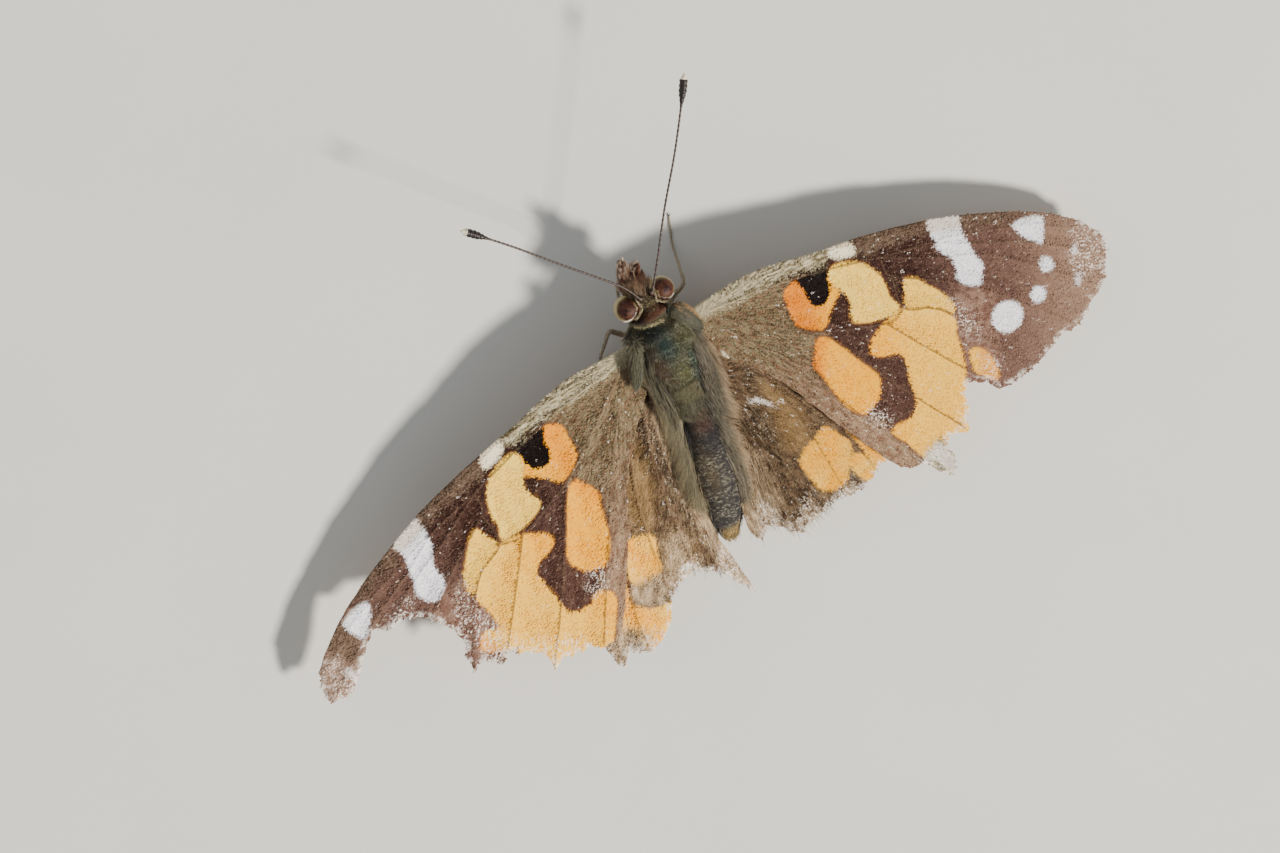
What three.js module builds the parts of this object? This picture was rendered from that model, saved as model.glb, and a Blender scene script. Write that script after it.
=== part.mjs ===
// A painted lady butterfly at rest with its wings spread, life size, in millimetres.
// +X is the butterfly's right, +Y the way its head points, +Z up from the floor it stands on.
// While the parts are shaped, z = 0 is the height of the forewing hinges.
// The last lines move the feet down to z = 0.
import * as THREE from "three";

// Driving sizes
const GAP = 0.3;
const FLOOR_DROP = 6.0;
const WING_DROOP = THREE.MathUtils.degToRad(6);
const FORE_SWEEP = THREE.MathUtils.degToRad(23);
const FORE_HINGE_X = 3.24;
const FORE_CAMBER = 0.3;
const FORE_COSTA_BACK = -3.7;
const FORE_CHORD = 15;
const MEMBRANE_HALF = 0.25;
const COSTA_EXTRA = 0.1;
const RIDGE_ROOT = 0.18;
const RIDGE_TIP = 0.07;
const RIDGE_FOOT = 0.32;
const HIND_BELOW_FORE = 1.25;
const EYE_RADIUS = 0.88;
const EYE_DOME = 0.8;
const EYE_SIDES = 20;
const FLOOR_PAD_DEPTH = 0.1;
const TRUNK_POWER = 2.4;

// Spacing of the points of a wing, the room each kind keeps to the others, and the slant of their rows
const EDGE_STEP = 1.15;
const VEIN_STEP = 1.2;
const FILL_STEP = 1.75;
const VEIN_ROOM = 0.5;
const RIDGE_FOOT_ROOM = 0.29;
const FILL_ROOM = 0.96;
const SKEW = 0.013;

// Colours and finishes, one for each kind of surface
const LOOKS = {
  wing: { color: 0xc98a45, roughness: 0.75, metalness: 0 },
  hindwing: { color: 0xb98550, roughness: 0.8, metalness: 0 },
  fur: { color: 0x6d6148, roughness: 0.9, metalness: 0 },
  collar: { color: 0x7a4527, roughness: 0.85, metalness: 0 },
  abdomen: { color: 0x3a3530, roughness: 0.8, metalness: 0 },
  eye: { color: 0x4a2a20, roughness: 0.2, metalness: 0 },
  palp: { color: 0xa58c6a, roughness: 0.85, metalness: 0 },
  horn: { color: 0x3b2a20, roughness: 0.5, metalness: 0 },
  leg: { color: 0xb09c7c, roughness: 0.75, metalness: 0 },
};

// Body of the thorax, front to back: [y, half width, top, underside]
const MESOTHORAX = [
  [1.25, 1.5, 0.95, -2.6],
  [0.6, 2.15, 1.5, -3.2],
  [-0.6, 2.5, 1.9, -3.6],
  [-2.0, 2.55, 1.85, -3.6],
  [-3.2, 2.35, 1.45, -3.4],
  [-4.1, 1.95, 0.95, -3.1],
];
const METATHORAX = [
  [-4.1 - GAP, 1.85, 0.8, -3.05],
  [-5.1, 1.75, 0.7, -2.85],
  [-5.9, 1.35, 0.45, -2.5],
];
const PROTHORAX = [
  [1.25 + GAP, 1.4, 0.85, -2.3],
  [1.8, 1.5, 1.0, -2.3],
  [2.15, 0.95, 0.7, -1.9],
];
const HEAD_HALF_WIDTH = 1.15;
const HEAD = [
  [2.15 + GAP, 0.85, 0.45, -1.35],
  [2.8, HEAD_HALF_WIDTH, 0.75, -1.6],
  [3.3, HEAD_HALF_WIDTH, 0.8, -1.65],
  [3.75, 0.9, 0.5, -1.45],
  [4.05, 0.55, 0.05, -1.05],
];
const EYE_Y = 2.95;
const EYE_Z = -0.3;
const EYE_BACK_X = HEAD_HALF_WIDTH + GAP;

// Abdomen: its spine, the width at each part of its length and the number of rings of the body
const ABDOMEN_SPINE = [
  [0, -5.9 - GAP, -1.02],
  [-0.15, -8.5, -1.45],
  [-0.45, -11.8, -2.2],
  [-0.75, -14.6, -3.0],
  [-0.92, -16.6, -3.65],
];
const ABDOMEN_HALF_WIDTHS = [1.2, 1.35, 1.5, 1.62, 1.65, 1.5, 1.15, 0.45];
const ABDOMEN_FLATTEN = 0.92;
const ABDOMEN_SEGMENTS = 8;
const ABDOMEN_GROOVE = 0.09;

// Forewing: [distance out along the leading edge, distance behind it] from the hinge, veins then margins
const FORE_VEINS = {
  subcosta: [[0.6, -0.5], [5, -1.9], [10, -2.75], [15.6, -3.25]],
  radius: [
    [0.5, 0.0], [4, -0.8], [8, -1.4], [13, -1.75], [17, -2.2], [21.5, -2.4], [24.2, -2.3], [28.2, -1.6],
  ],
  radius_fork: [[17, -2.2], [19.6, -1.7], [24, -1.2], [29.3, 0.2]],
  media_1: [[13, -1.75], [17.5, -1.1], [22, -0.5], [29.0, 2.4]],
  media_2: [[13.2, -1.6], [13.9, -0.4], [17.5, 0.5], [21, 1.7], [27.4, 4.9]],
  media_3: [[13.9, -0.4], [14.6, 1.9], [16.6, 2.2], [18.4, 3.1], [22, 6.3], [24.2, 8.2]],
  cubitus: [[0.6, 0.5], [4, 1.5], [8.5, 2.6], [13.2, 2.75], [14.6, 1.9]],
  cubitus_1: [[13.2, 2.75], [15.5, 4.4], [19, 6.8], [21.3, 8.4]],
  cubitus_2: [[8.5, 2.6], [12.5, 6.0], [15.4, 8.3], [18.9, 10.9]],
  anal: [[0.8, 0.9], [5, 3.8], [8.5, 6.6], [13.3, 10.6], [15.4, 12.4]],
};
const FORE_COSTA = [
  [0.3, -0.75], [3.9, -2.1], [8.4, -2.75], [13, -3.45], [17, -3.7], [21.5, -3.55], [25.4, -3.0],
];
const FORE_INNER = [[14.2, 12.9], [12.2, 11.5], [9.1, 8.9], [4.8, 5.2]];
// The worn outer margins run from the tip round to the rear corner, with a torn bay on the left wing
const FORE_MARGIN_RIGHT = [
  [28.4, -2.0], [29.6, -1.0], [30, 0.2], [29.7, 2.0], [28.7, 3.6], [27.7, 5.0], [26, 5.7], [24.7, 7.1],
  [22.6, 8.2], [21.5, 8.6], [20.6, 7.9], [19.2, 7.8], [18.8, 8.6], [19.2, 9.7], [19.1, 11.0], [17.4, 11.2],
  [17.6, 12.2], [18.3, 13.2], [17.6, 14.1], [16.3, 13.2], [15.4, 12.8],
];
const FORE_MARGIN_LEFT = [
  [27.4, -2.4], [29.0, -1.8], [29.7, -0.7], [30, 0.4], [28.7, 1.0], [27.4, 0.5], [25.8, -0.3], [24.3, -0.9],
  [23.5, 0], [22.6, 0.1], [21.6, 1.1], [21.3, 2.4], [21.0, 3.6], [21.3, 4.9], [22.3, 6.6], [21.2, 6.5],
  [20.9, 7.9], [20.0, 7.5], [19.2, 8.4], [18.4, 10.0], [19.0, 11.0], [17.9, 10.8], [16.4, 11.9], [15.5, 12.6],
];

// Hindwing: [distance out from the middle of the body, distance behind the forewing hinge]
const HIND_VEINS = {
  subcosta: [[3.5, 3.2], [6.5, 3.0], [12, 5.2], [16.9, 9.4]],
  radius: [[3.5, 3.5], [6, 4.3], [10, 6.4], [14, 9.6], [16.4, 12.4]],
  media_1: [[6, 4.3], [8.3, 6.4], [12.4, 10.6], [14.9, 14.4]],
  media_2: [[8.3, 6.4], [8.2, 7.6], [11.6, 12.2], [13.2, 16.4]],
  media_3: [[8.2, 7.6], [7.5, 8.7], [10.2, 13.4], [11.8, 19.2]],
  cubitus: [[3.4, 4.0], [5.2, 6.3], [6.8, 8.6], [7.5, 8.7]],
  cubitus_1: [[6.8, 8.6], [8.7, 13.6], [9.6, 17.0]],
  cubitus_2: [[5.2, 6.3], [6.3, 10.6], [6.9, 16.2]],
  anal_2: [[3.2, 4.4], [4.3, 9.6], [4.7, 15.2]],
  anal_3: [[2.9, 5.0], [3.2, 9.6], [2.8, 15.0]],
};
const HIND_COSTA = [[4.2, 2.4], [8, 2.9], [12, 4.2], [15, 6.4], [17.3, 9.4]];
const HIND_MARGIN_LEFT = [
  [17.6, 11.2], [16.9, 13.2], [15.2, 15.4], [13.2, 16.9], [12.4, 18.2], [12.0, 19.9], [11.0, 19.2],
  [9.8, 20.0], [8.9, 19.7], [7.7, 18.9], [7.0, 17.4], [6.2, 16.5], [5.0, 16.2], [3.6, 17.0], [2.4, 18.6],
  [1.3, 20.3],
];
const HIND_MARGIN_RIGHT = [
  [17.6, 11.2], [16.9, 13.0], [15.0, 15.0], [12.6, 16.3], [9.9, 16.7], [8.4, 17.5], [7.0, 17.4], [5.7, 17.1],
  [4.4, 17.5], [3.1, 18.2], [2.2, 17.4], [1.4, 16.6], [0.6, 17.4],
];
const HIND_INNER_LEFT = [[2.3, 16.2], [2.7, 13.8], [2.55, 11.8], [2.3, 8.5], [2.2, 6.4]];
const HIND_INNER_RIGHT = [[0.95, 16.0], [1.5, 13.4], [1.75, 11.0], [1.95, 8.5], [2.15, 6.4]];
const HIND_FOLD_DEPTH = 1.7;

const GUIDE_UP = new THREE.Vector3(0, 0, 1);

function smooth(from, to, value) {
  return THREE.MathUtils.smoothstep(value, from, to);
}

// Value at a place along a list of numbers, with a smooth curve through them
function along(values, place) {
  const points = values.map((value, index) => new THREE.Vector3(index, value, 0));
  return new THREE.CatmullRomCurve3(points, false, "catmullrom", 0.5).getPoint(place).y;
}

function vectors(points) {
  return points.map(([x, y, z]) => new THREE.Vector3(x, y, z));
}

// Geometry from corner positions and triangles, turned face out if it came out reversed
function closedGeometry(corners, triangles) {
  let volume = 0;
  for (const [a, b, c] of triangles) {
    volume += corners[a].dot(new THREE.Vector3().crossVectors(corners[b], corners[c]));
  }
  const faces = volume > 0 ? triangles : triangles.map(([a, b, c]) => [a, c, b]);
  const geometry = new THREE.BufferGeometry();
  const numbers = corners.flatMap((corner) => [corner.x, corner.y, corner.z]);
  geometry.setAttribute("position", new THREE.Float32BufferAttribute(numbers, 3));
  geometry.setIndex(faces.flat());
  geometry.computeVertexNormals();
  return geometry;
}

// A closed body through rings of corners, each ring with the same count, flat across both ends
function skinOfRings(rings) {
  const sides = rings[0].length;
  const corners = rings.flat();
  const triangles = [];
  const last = rings.length - 1;
  for (let index = 0; index < last; index++) {
    for (let side = 0; side < sides; side++) {
      const a = index * sides + side;
      const b = index * sides + ((side + 1) % sides);
      triangles.push([a, b, b + sides], [a, b + sides, a + sides]);
    }
  }
  for (const index of [0, last]) {
    const centre = rings[index].reduce((sum, p) => sum.add(p), new THREE.Vector3()).divideScalar(sides);
    const middle = corners.push(centre) - 1;
    for (let side = 0; side < sides; side++) {
      const a = index * sides + side;
      const b = index * sides + ((side + 1) % sides);
      triangles.push(index === 0 ? [b, a, middle] : [a, b, middle]);
    }
  }
  return closedGeometry(corners, triangles);
}

// One ring: an ellipse, squarer as the power grows, in the plane of two directions
function ring(centre, across, upward, halfWidth, halfHeight, sides, power = 2) {
  const corners = [];
  for (let side = 0; side < sides; side++) {
    const turn = (2 * Math.PI * side) / sides;
    const x = Math.sign(Math.cos(turn)) * Math.abs(Math.cos(turn)) ** (2 / power);
    const z = Math.sign(Math.sin(turn)) * Math.abs(Math.sin(turn)) ** (2 / power);
    const corner = centre.clone().addScaledVector(across, x * halfWidth);
    corners.push(corner.addScaledVector(upward, z * halfHeight));
  }
  return corners;
}

// Part of the trunk: rings across the body along its [y, half width, top, underside] stations
function trunkAt(stations, place) {
  const column = (index) => along(stations.map((station) => station[index]), place);
  const top = column(2);
  const under = column(3);
  return { y: column(0), halfWidth: column(1), middle: (top + under) / 2, halfHeight: (top - under) / 2 };
}

function trunk(stations, rings, sides) {
  const across = new THREE.Vector3(1, 0, 0);
  const list = [];
  for (let index = 0; index < rings; index++) {
    const at = trunkAt(stations, index / (rings - 1));
    const centre = new THREE.Vector3(0, at.y, at.middle);
    list.push(ring(centre, across, GUIDE_UP, at.halfWidth, at.halfHeight, sides, TRUNK_POWER));
  }
  return skinOfRings(list);
}

// How far out the side of a trunk part lies at a height, where the part has its given y
function trunkSide(stations, y, z) {
  let low = 0;
  let high = 1;
  for (let pass = 0; pass < 30; pass++) {
    const half = (low + high) / 2;
    if (trunkAt(stations, half).y > y) low = half;
    else high = half;
  }
  const at = trunkAt(stations, low);
  const rise = Math.min(Math.abs(z - at.middle) / at.halfHeight, 1) ** TRUNK_POWER;
  return at.halfWidth * (1 - rise) ** (1 / TRUNK_POWER);
}

// A limb or feeler: rings square to a curve, with its half thickness given along its length
function limb(points, halves, { rings = 14, sides = 8, flatten = 1, floor = -Infinity } = {}) {
  const curve = new THREE.CatmullRomCurve3(vectors(points), false, "centripetal");
  const list = [];
  for (let index = 0; index < rings; index++) {
    const place = index / (rings - 1);
    const forward = curve.getTangentAt(place);
    const across = new THREE.Vector3().crossVectors(forward, GUIDE_UP).normalize();
    const upward = new THREE.Vector3().crossVectors(across, forward);
    const half = along(halves, place);
    const corners = ring(curve.getPointAt(place), across, upward, half, half * flatten, sides);
    for (const corner of corners) {
      corner.z = Math.max(corner.z, floor);
    }
    list.push(corners);
  }
  return skinOfRings(list);
}

// Triangles joining scattered flat points so that no triangle's circle holds another point
function triangulate(points) {
  const reach = 1000;
  const all = [...points, [-reach, -reach], [reach * 2, -reach], [-reach, reach * 2]];
  const count = points.length;
  const circle = (a, b, c) => {
    const [ax, ay] = all[a];
    const [bx, by] = all[b];
    const [cx, cy] = all[c];
    const d = 2 * (ax * (by - cy) + bx * (cy - ay) + cx * (ay - by));
    const a2 = ax * ax + ay * ay;
    const b2 = bx * bx + by * by;
    const c2 = cx * cx + cy * cy;
    const x = (a2 * (by - cy) + b2 * (cy - ay) + c2 * (ay - by)) / d;
    const y = (a2 * (cx - bx) + b2 * (ax - cx) + c2 * (bx - ax)) / d;
    return { corners: [a, b, c], x, y, square: (ax - x) ** 2 + (ay - y) ** 2 };
  };
  let faces = [circle(count, count + 1, count + 2)];
  for (let index = 0; index < count; index++) {
    const [x, y] = all[index];
    const edges = new Map();
    const kept = [];
    for (const face of faces) {
      if ((x - face.x) ** 2 + (y - face.y) ** 2 >= face.square) {
        kept.push(face);
        continue;
      }
      const [a, b, c] = face.corners;
      for (const [from, to] of [[a, b], [b, c], [c, a]]) {
        if (!edges.delete(`${to},${from}`)) edges.set(`${from},${to}`, [from, to]);
      }
    }
    for (const [from, to] of edges.values()) {
      kept.push(circle(from, to, index));
    }
    faces = kept;
  }
  return faces.map((face) => face.corners).filter((corners) => corners.every((corner) => corner < count));
}

function insideOutline([x, y], outline) {
  let inside = false;
  for (let index = 0; index < outline.length; index++) {
    const [ax, ay] = outline[index];
    const [bx, by] = outline[(index + 1) % outline.length];
    if (ay > y !== by > y && x < ((bx - ax) * (y - ay)) / (by - ay) + ax) inside = !inside;
  }
  return inside;
}

function distance(a, b) {
  return Math.hypot(a[0] - b[0], a[1] - b[1]);
}

// Points at an even step along a smooth curve through the given ones, both ends included
function smoothLine(points, step) {
  const curve = new THREE.SplineCurve(points.map(([x, y]) => new THREE.Vector2(x, y)));
  const pieces = Math.max(2, Math.round(curve.getLength() / step));
  return curve.getSpacedPoints(pieces).map((p) => [p.x, p.y]);
}

// Points at no more than a step along straight lines between the given ones, both ends included
function brokenLine(points, step) {
  const line = [points[0]];
  for (let index = 1; index < points.length; index++) {
    const [ax, ay] = points[index - 1];
    const [bx, by] = points[index];
    const pieces = Math.max(1, Math.round(distance(points[index - 1], points[index]) / step));
    for (let piece = 1; piece <= pieces; piece++) {
      line.push([ax + ((bx - ax) * piece) / pieces, ay + ((by - ay) * piece) / pieces]);
    }
  }
  return line;
}

// The flat plan of a wing: its points, each with the height of the vein there, and its triangles
function wingPlan(outline, costaCount, veins) {
  const points = outline.map((point) => [...point]);
  const heights = points.map((_, index) => (index < costaCount ? COSTA_EXTRA : 0));
  const clearOf = (point, room) => points.every((other) => distance(point, other) > room);
  const add = (point, height, room) => {
    if (!insideOutline(point, outline) || !clearOf(point, room)) return;
    points.push(point);
    heights.push(height);
  };
  const lines = Object.values(veins).map((vein) => smoothLine(vein, VEIN_STEP));
  for (const line of lines) {
    line.forEach((point, index) => {
      const height = THREE.MathUtils.lerp(RIDGE_ROOT, RIDGE_TIP, index / (line.length - 1));
      add(point, height, VEIN_ROOM);
    });
  }
  for (const line of lines) {
    for (let index = 0; index < line.length; index++) {
      const before = line[Math.max(index - 1, 0)];
      const after = line[Math.min(index + 1, line.length - 1)];
      const length = distance(before, after);
      const across = [(before[1] - after[1]) / length, (after[0] - before[0]) / length];
      for (const side of [-1, 1]) {
        const [x, y] = line[index];
        const reach = side * RIDGE_FOOT;
        add([x + reach * across[0], y + reach * across[1]], 0, RIDGE_FOOT_ROOM);
      }
    }
  }
  const low = Math.min(...outline.flat());
  const high = Math.max(...outline.flat());
  const rowStep = (FILL_STEP * Math.sqrt(3)) / 2;
  for (let row = Math.floor(low / rowStep); row * rowStep < high; row++) {
    for (let column = Math.floor(low / FILL_STEP) - 1; column * FILL_STEP < high; column++) {
      const x = (column + (row % 2 ? 0.5 : 0)) * FILL_STEP;
      add([x + SKEW * row, row * rowStep + SKEW * column], 0, FILL_ROOM);
    }
  }
  const triangles = triangulate(points).filter((corners) => {
    const x = corners.reduce((sum, corner) => sum + points[corner][0], 0) / 3;
    const y = corners.reduce((sum, corner) => sum + points[corner][1], 0) / 3;
    return insideOutline([x, y], outline);
  });
  return { points, heights, triangles };
}

// A wing as one closed sheet: the plan on its upper and its under face, and a wall all round the rim
function wingSolid(plan, place) {
  const { points, heights, triangles } = plan;
  const count = points.length;
  const halves = heights.map((height) => MEMBRANE_HALF + height);
  const corners = [
    ...points.map((point, index) => place(point, halves[index])),
    ...points.map((point, index) => place(point, -halves[index])),
  ];
  const faces = [];
  const rim = new Map();
  for (const [a, b, c] of triangles) {
    faces.push([a, b, c], [a + count, c + count, b + count]);
    for (const [from, to] of [[a, b], [b, c], [c, a]]) {
      if (!rim.delete(`${to},${from}`)) rim.set(`${from},${to}`, [from, to]);
    }
  }
  for (const [from, to] of rim.values()) {
    faces.push([to, from, from + count], [to, from + count, to + count]);
  }
  return closedGeometry(corners, faces);
}

// Place of a forewing point: out along the leading edge, back from it, and up from the sheet's middle
function foreWingPlace(side) {
  return ([out, back], lift) => {
    const across = out * Math.cos(FORE_SWEEP) - back * Math.sin(FORE_SWEEP);
    const rear = out * Math.sin(FORE_SWEEP) + back * Math.cos(FORE_SWEEP);
    const behindEdge = THREE.MathUtils.clamp(back - FORE_COSTA_BACK, 0, FORE_CHORD);
    const camber = FORE_CAMBER * Math.sin((Math.PI * behindEdge) / FORE_CHORD) * smooth(1, 9, out);
    const rise = lift + camber;
    return new THREE.Vector3(
      side * (FORE_HINGE_X + across * Math.cos(WING_DROOP) + rise * Math.sin(WING_DROOP)),
      -rear,
      -across * Math.sin(WING_DROOP) + rise * Math.cos(WING_DROOP),
    );
  };
}

// Where a place on the body lies in the forewing's own directions
function toForeWing(x, y) {
  const across = (x - FORE_HINGE_X) / Math.cos(WING_DROOP);
  return [
    across * Math.cos(FORE_SWEEP) - y * Math.sin(FORE_SWEEP),
    -across * Math.sin(FORE_SWEEP) - y * Math.cos(FORE_SWEEP),
  ];
}

// Place of a hindwing point: the inner field folds down beside the abdomen
function hindWingPlace(side) {
  const drop = HIND_BELOW_FORE - FORE_HINGE_X * Math.tan(WING_DROOP);
  return ([out, back], lift) => {
    const fold = HIND_FOLD_DEPTH * (1 - smooth(1.4, 4.6, out)) * smooth(4.5, 11, back);
    const rise = lift - drop - fold;
    return new THREE.Vector3(
      side * (out * Math.cos(WING_DROOP) + lift * Math.sin(WING_DROOP)),
      -back,
      -out * Math.sin(WING_DROOP) + rise * Math.cos(WING_DROOP),
    );
  };
}

const FORE_ROOT_FRONT_Y = 0.45;
const FORE_ROOT_REAR_Y = -1.7;
const HIND_ROOT_FRONT_Y = -2.9;
const HIND_ROOT_REAR_Y = -5.3;

function foreWing(side, margin) {
  const rootPoint = (y) => toForeWing(trunkSide(MESOTHORAX, y, 0) + GAP, y);
  const costa = smoothLine([rootPoint(FORE_ROOT_FRONT_Y), ...FORE_COSTA, margin[0]], EDGE_STEP);
  const rest = brokenLine(
    [margin[0], ...margin.slice(1), ...FORE_INNER, rootPoint(FORE_ROOT_REAR_Y), rootPoint(FORE_ROOT_FRONT_Y)],
    EDGE_STEP,
  );
  const outline = [...costa, ...rest.slice(1, -1)];
  return wingSolid(wingPlan(outline, costa.length, FORE_VEINS), foreWingPlace(side));
}

function hindWing(side, margin, inner) {
  const rootZ = -HIND_BELOW_FORE;
  const front = [trunkSide(MESOTHORAX, HIND_ROOT_FRONT_Y, rootZ) + GAP, -HIND_ROOT_FRONT_Y];
  const rear = [trunkSide(METATHORAX, HIND_ROOT_REAR_Y, rootZ) + GAP, -HIND_ROOT_REAR_Y];
  const costa = smoothLine([front, ...HIND_COSTA, margin[0]], EDGE_STEP);
  const outer = brokenLine([margin[0], ...margin.slice(1)], EDGE_STEP);
  const edge = smoothLine([margin.at(-1), ...inner, rear], EDGE_STEP);
  const root = brokenLine([rear, front], EDGE_STEP);
  const outline = [...costa, ...outer.slice(1), ...edge.slice(1), ...root.slice(1, -1)];
  return wingSolid(wingPlan(outline, costa.length, HIND_VEINS), hindWingPlace(side));
}

// An eye: a dome turned out to the side, flat at its back where it faces the head
function eye() {
  const profile = [new THREE.Vector2(0, 0)];
  const steps = 9;
  for (let step = 0; step <= steps; step++) {
    const turn = (Math.PI / 2) * (step / steps);
    profile.push(new THREE.Vector2(EYE_RADIUS * Math.cos(turn), EYE_DOME * Math.sin(turn)));
  }
  profile.at(-1).x = 0;
  return new THREE.LatheGeometry(profile, EYE_SIDES);
}

// A palp: from the front of the head forward and up to a blunt point, the right one bent down and shorter
const HEAD_FRONT_Y = HEAD.at(-1)[0];
const PALP_LEFT = [
  [-0.46, HEAD_FRONT_Y + GAP, -1.0],
  [-0.5, HEAD_FRONT_Y + 0.9, -0.85],
  [-0.46, HEAD_FRONT_Y + 1.5, -0.3],
  [-0.36, HEAD_FRONT_Y + 2.1, 0.3],
];
const PALP_RIGHT = [
  [0.46, HEAD_FRONT_Y + GAP, -1.0],
  [0.5, HEAD_FRONT_Y + 0.75, -0.9],
  [0.5, HEAD_FRONT_Y + 1.1, -0.55],
  [0.48, HEAD_FRONT_Y + 1.4, -0.15],
];
const PALP_HALVES = [0.26, 0.31, 0.3, 0.26, 0.1];

function palp(points) {
  return limb(points, PALP_HALVES, { rings: 9, sides: 10 });
}

// The coiled tongue under the palps
const COIL_CENTRE = [0, 4.65, -2.15];
const COIL_TURNS = 1.15;
const COIL_START = Math.PI * 0.92;
const COIL_RADII = [0.78, 0.2];
const TONGUE_HALVES = [0.22, 0.154];

function proboscis() {
  const [x, y, z] = COIL_CENTRE;
  const steps = 14;
  const points = [];
  for (let step = 0; step <= steps; step++) {
    const turn = COIL_START - (2 * Math.PI * COIL_TURNS * step) / steps;
    const radius = THREE.MathUtils.lerp(...COIL_RADII, step / steps);
    points.push(new THREE.Vector3(x, y + radius * Math.cos(turn), z + radius * Math.sin(turn)));
  }
  const curve = new THREE.CatmullRomCurve3(points, false, "centripetal");
  const sideways = new THREE.Vector3(1, 0, 0);
  const last = 23;
  const rings = [];
  for (let index = 0; index <= last; index++) {
    const outward = new THREE.Vector3().crossVectors(curve.getTangentAt(index / last), sideways);
    const half = THREE.MathUtils.lerp(...TONGUE_HALVES, index / last);
    rings.push(ring(curve.getPointAt(index / last), sideways, outward, half, half, 8));
  }
  return skinOfRings(rings);
}

// An antenna: a thin stem from the brow that swells into a club near its end
const ANTENNA_ROOT = [0.45, 3.35, 0.8 + GAP];
const ANTENNA_RIGHT = [
  [1.61, 5.07, 0.95], [3.65, 8.19, 1.1], [5.78, 11.17, 1.25], [7.6, 14.0, 1.4], [8.76, 16.0, 1.5],
];
const ANTENNA_LEFT = [
  [-1.5, 5.2, 1.3], [-4.4, 8.6, 1.75], [-6.8, 11.5, 2.25], [-8.9, 13.85, 2.75], [-9.84, 14.8, 3.0],
];
const ANTENNA_HALVES = [0.27, 0.25, 0.25, 0.25, 0.25, 0.25, 0.25, 0.27, 0.42, 0.4, 0.15];

function antenna(side, route) {
  const [x, y, z] = ANTENNA_ROOT;
  return limb([[side * x, y, z], ...route], ANTENNA_HALVES, { rings: 26, sides: 8 });
}

// Legs: root, knee, ankle and toe, with the foot flat on the floor.
// The left middle leg is drawn back under its wing.
const FOOT_Z = -FLOOR_DROP + MEMBRANE_HALF - FLOOR_PAD_DEPTH;
const LEG_HALVES = [0.34, 0.36, 0.34, 0.3, 0.27, 0.25, 0.25, 0.25, 0.25, 0.2];
const MIDLEG_RIGHT = [
  [0.95, -0.9, -3.6 - GAP], [1.6, -0.3, -4.3], [2.7, 0.5, -3.9], [3.55, 1.1, -3.45],
  [4.05, 1.9, -4.5], [4.35, 2.5, -5.35], [4.6, 3.1, FOOT_Z], [4.9, 4.0, FOOT_Z], [5.2, 4.9, FOOT_Z],
];
const MIDLEG_LEFT = [
  [-0.95, -0.9, -3.6 - GAP], [-1.5, -0.2, -4.15], [-2.1, 0.5, -3.6], [-2.5, 0.85, -3.2],
  [-2.95, -0.1, -4.1], [-3.35, -1.2, -5.2], [-3.65, -2.1, FOOT_Z], [-3.95, -3.0, FOOT_Z],
  [-4.25, -3.9, FOOT_Z],
];
const HINDLEG = [
  [0.95, -3.0, -3.45 - GAP], [1.6, -3.7, -4.35], [3.0, -5.0, -4.1], [4.0, -6.0, -3.7],
  [4.6, -7.3, -4.6], [5.0, -8.4, -5.35], [5.25, -9.2, FOOT_Z], [5.55, -10.2, FOOT_Z], [5.85, -11.2, FOOT_Z],
];
const FORELEG = [
  [0.85, 1.75, -2.3 - GAP], [0.95, 1.95, -3.05], [0.9, 2.7, -3.1], [0.8, 3.4, -2.75], [0.72, 3.9, -2.3],
];
const FORELEG_HALVES = [0.28, 0.3, 0.28, 0.26, 0.15];

function mirrored(points, side) {
  return points.map(([x, y, z]) => [side * x, y, z]);
}

function walkingLeg(points) {
  return limb(points, LEG_HALVES, { rings: 24, sides: 8, floor: -FLOOR_DROP });
}

function foreLeg(side) {
  return limb(mirrored(FORELEG, side), FORELEG_HALVES, { rings: 12, sides: 8 });
}

// A tegula: the scale-covered flap over a forewing hinge, flat where it faces the shoulder
const TEGULA_LENGTH = 1.25;
const TEGULA_HALF_WIDTH = 1.05;
const TEGULA_HALF_HEIGHT = 0.3;
const TEGULA_Y = -0.15;
const TEGULA_Z = 1.16;
const TEGULA_SLANT = [TEGULA_LENGTH, -0.35, -0.12];
const TEGULA_SPANS = [[0, 0.75], [0.12, 0.9], [0.35, 1], [0.6, 0.95], [0.82, 0.7], [0.95, 0.35]];

function tegula(side) {
  const innerX = trunkSide(MESOTHORAX, TEGULA_Y, TEGULA_Z - TEGULA_HALF_HEIGHT / 2) + GAP;
  const lengthwise = new THREE.Vector3(0, 1, 0);
  const rings = TEGULA_SPANS.map(([place, size]) => {
    const [outward, ahead, upward] = TEGULA_SLANT.map((slant) => slant * place);
    const centre = new THREE.Vector3(side * (innerX + outward), TEGULA_Y + ahead, TEGULA_Z + upward);
    return ring(centre, lengthwise, GUIDE_UP, TEGULA_HALF_WIDTH * size, TEGULA_HALF_HEIGHT * size, 12);
  });
  return skinOfRings(rings);
}

// The abdomen: a spindle that narrows at the joint of each ring of the body
function abdomen() {
  const curve = new THREE.CatmullRomCurve3(vectors(ABDOMEN_SPINE), false, "centripetal");
  const across = new THREE.Vector3(1, 0, 0);
  const rings = [];
  const ringsEach = 3;
  const steps = ABDOMEN_SEGMENTS * ringsEach;
  for (let index = 0; index <= steps; index++) {
    const place = index / steps;
    const forward = curve.getTangentAt(place);
    const upward = new THREE.Vector3().crossVectors(forward, across).normalize().negate();
    const groove = index % ringsEach === 0 && index > 0 && index < steps ? ABDOMEN_GROOVE : 0;
    const half = along(ABDOMEN_HALF_WIDTHS, place) - groove;
    rings.push(ring(curve.getPointAt(place), across, upward, half, half * ABDOMEN_FLATTEN, 16));
  }
  return skinOfRings(rings);
}

const butterfly = new THREE.Group();

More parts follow.
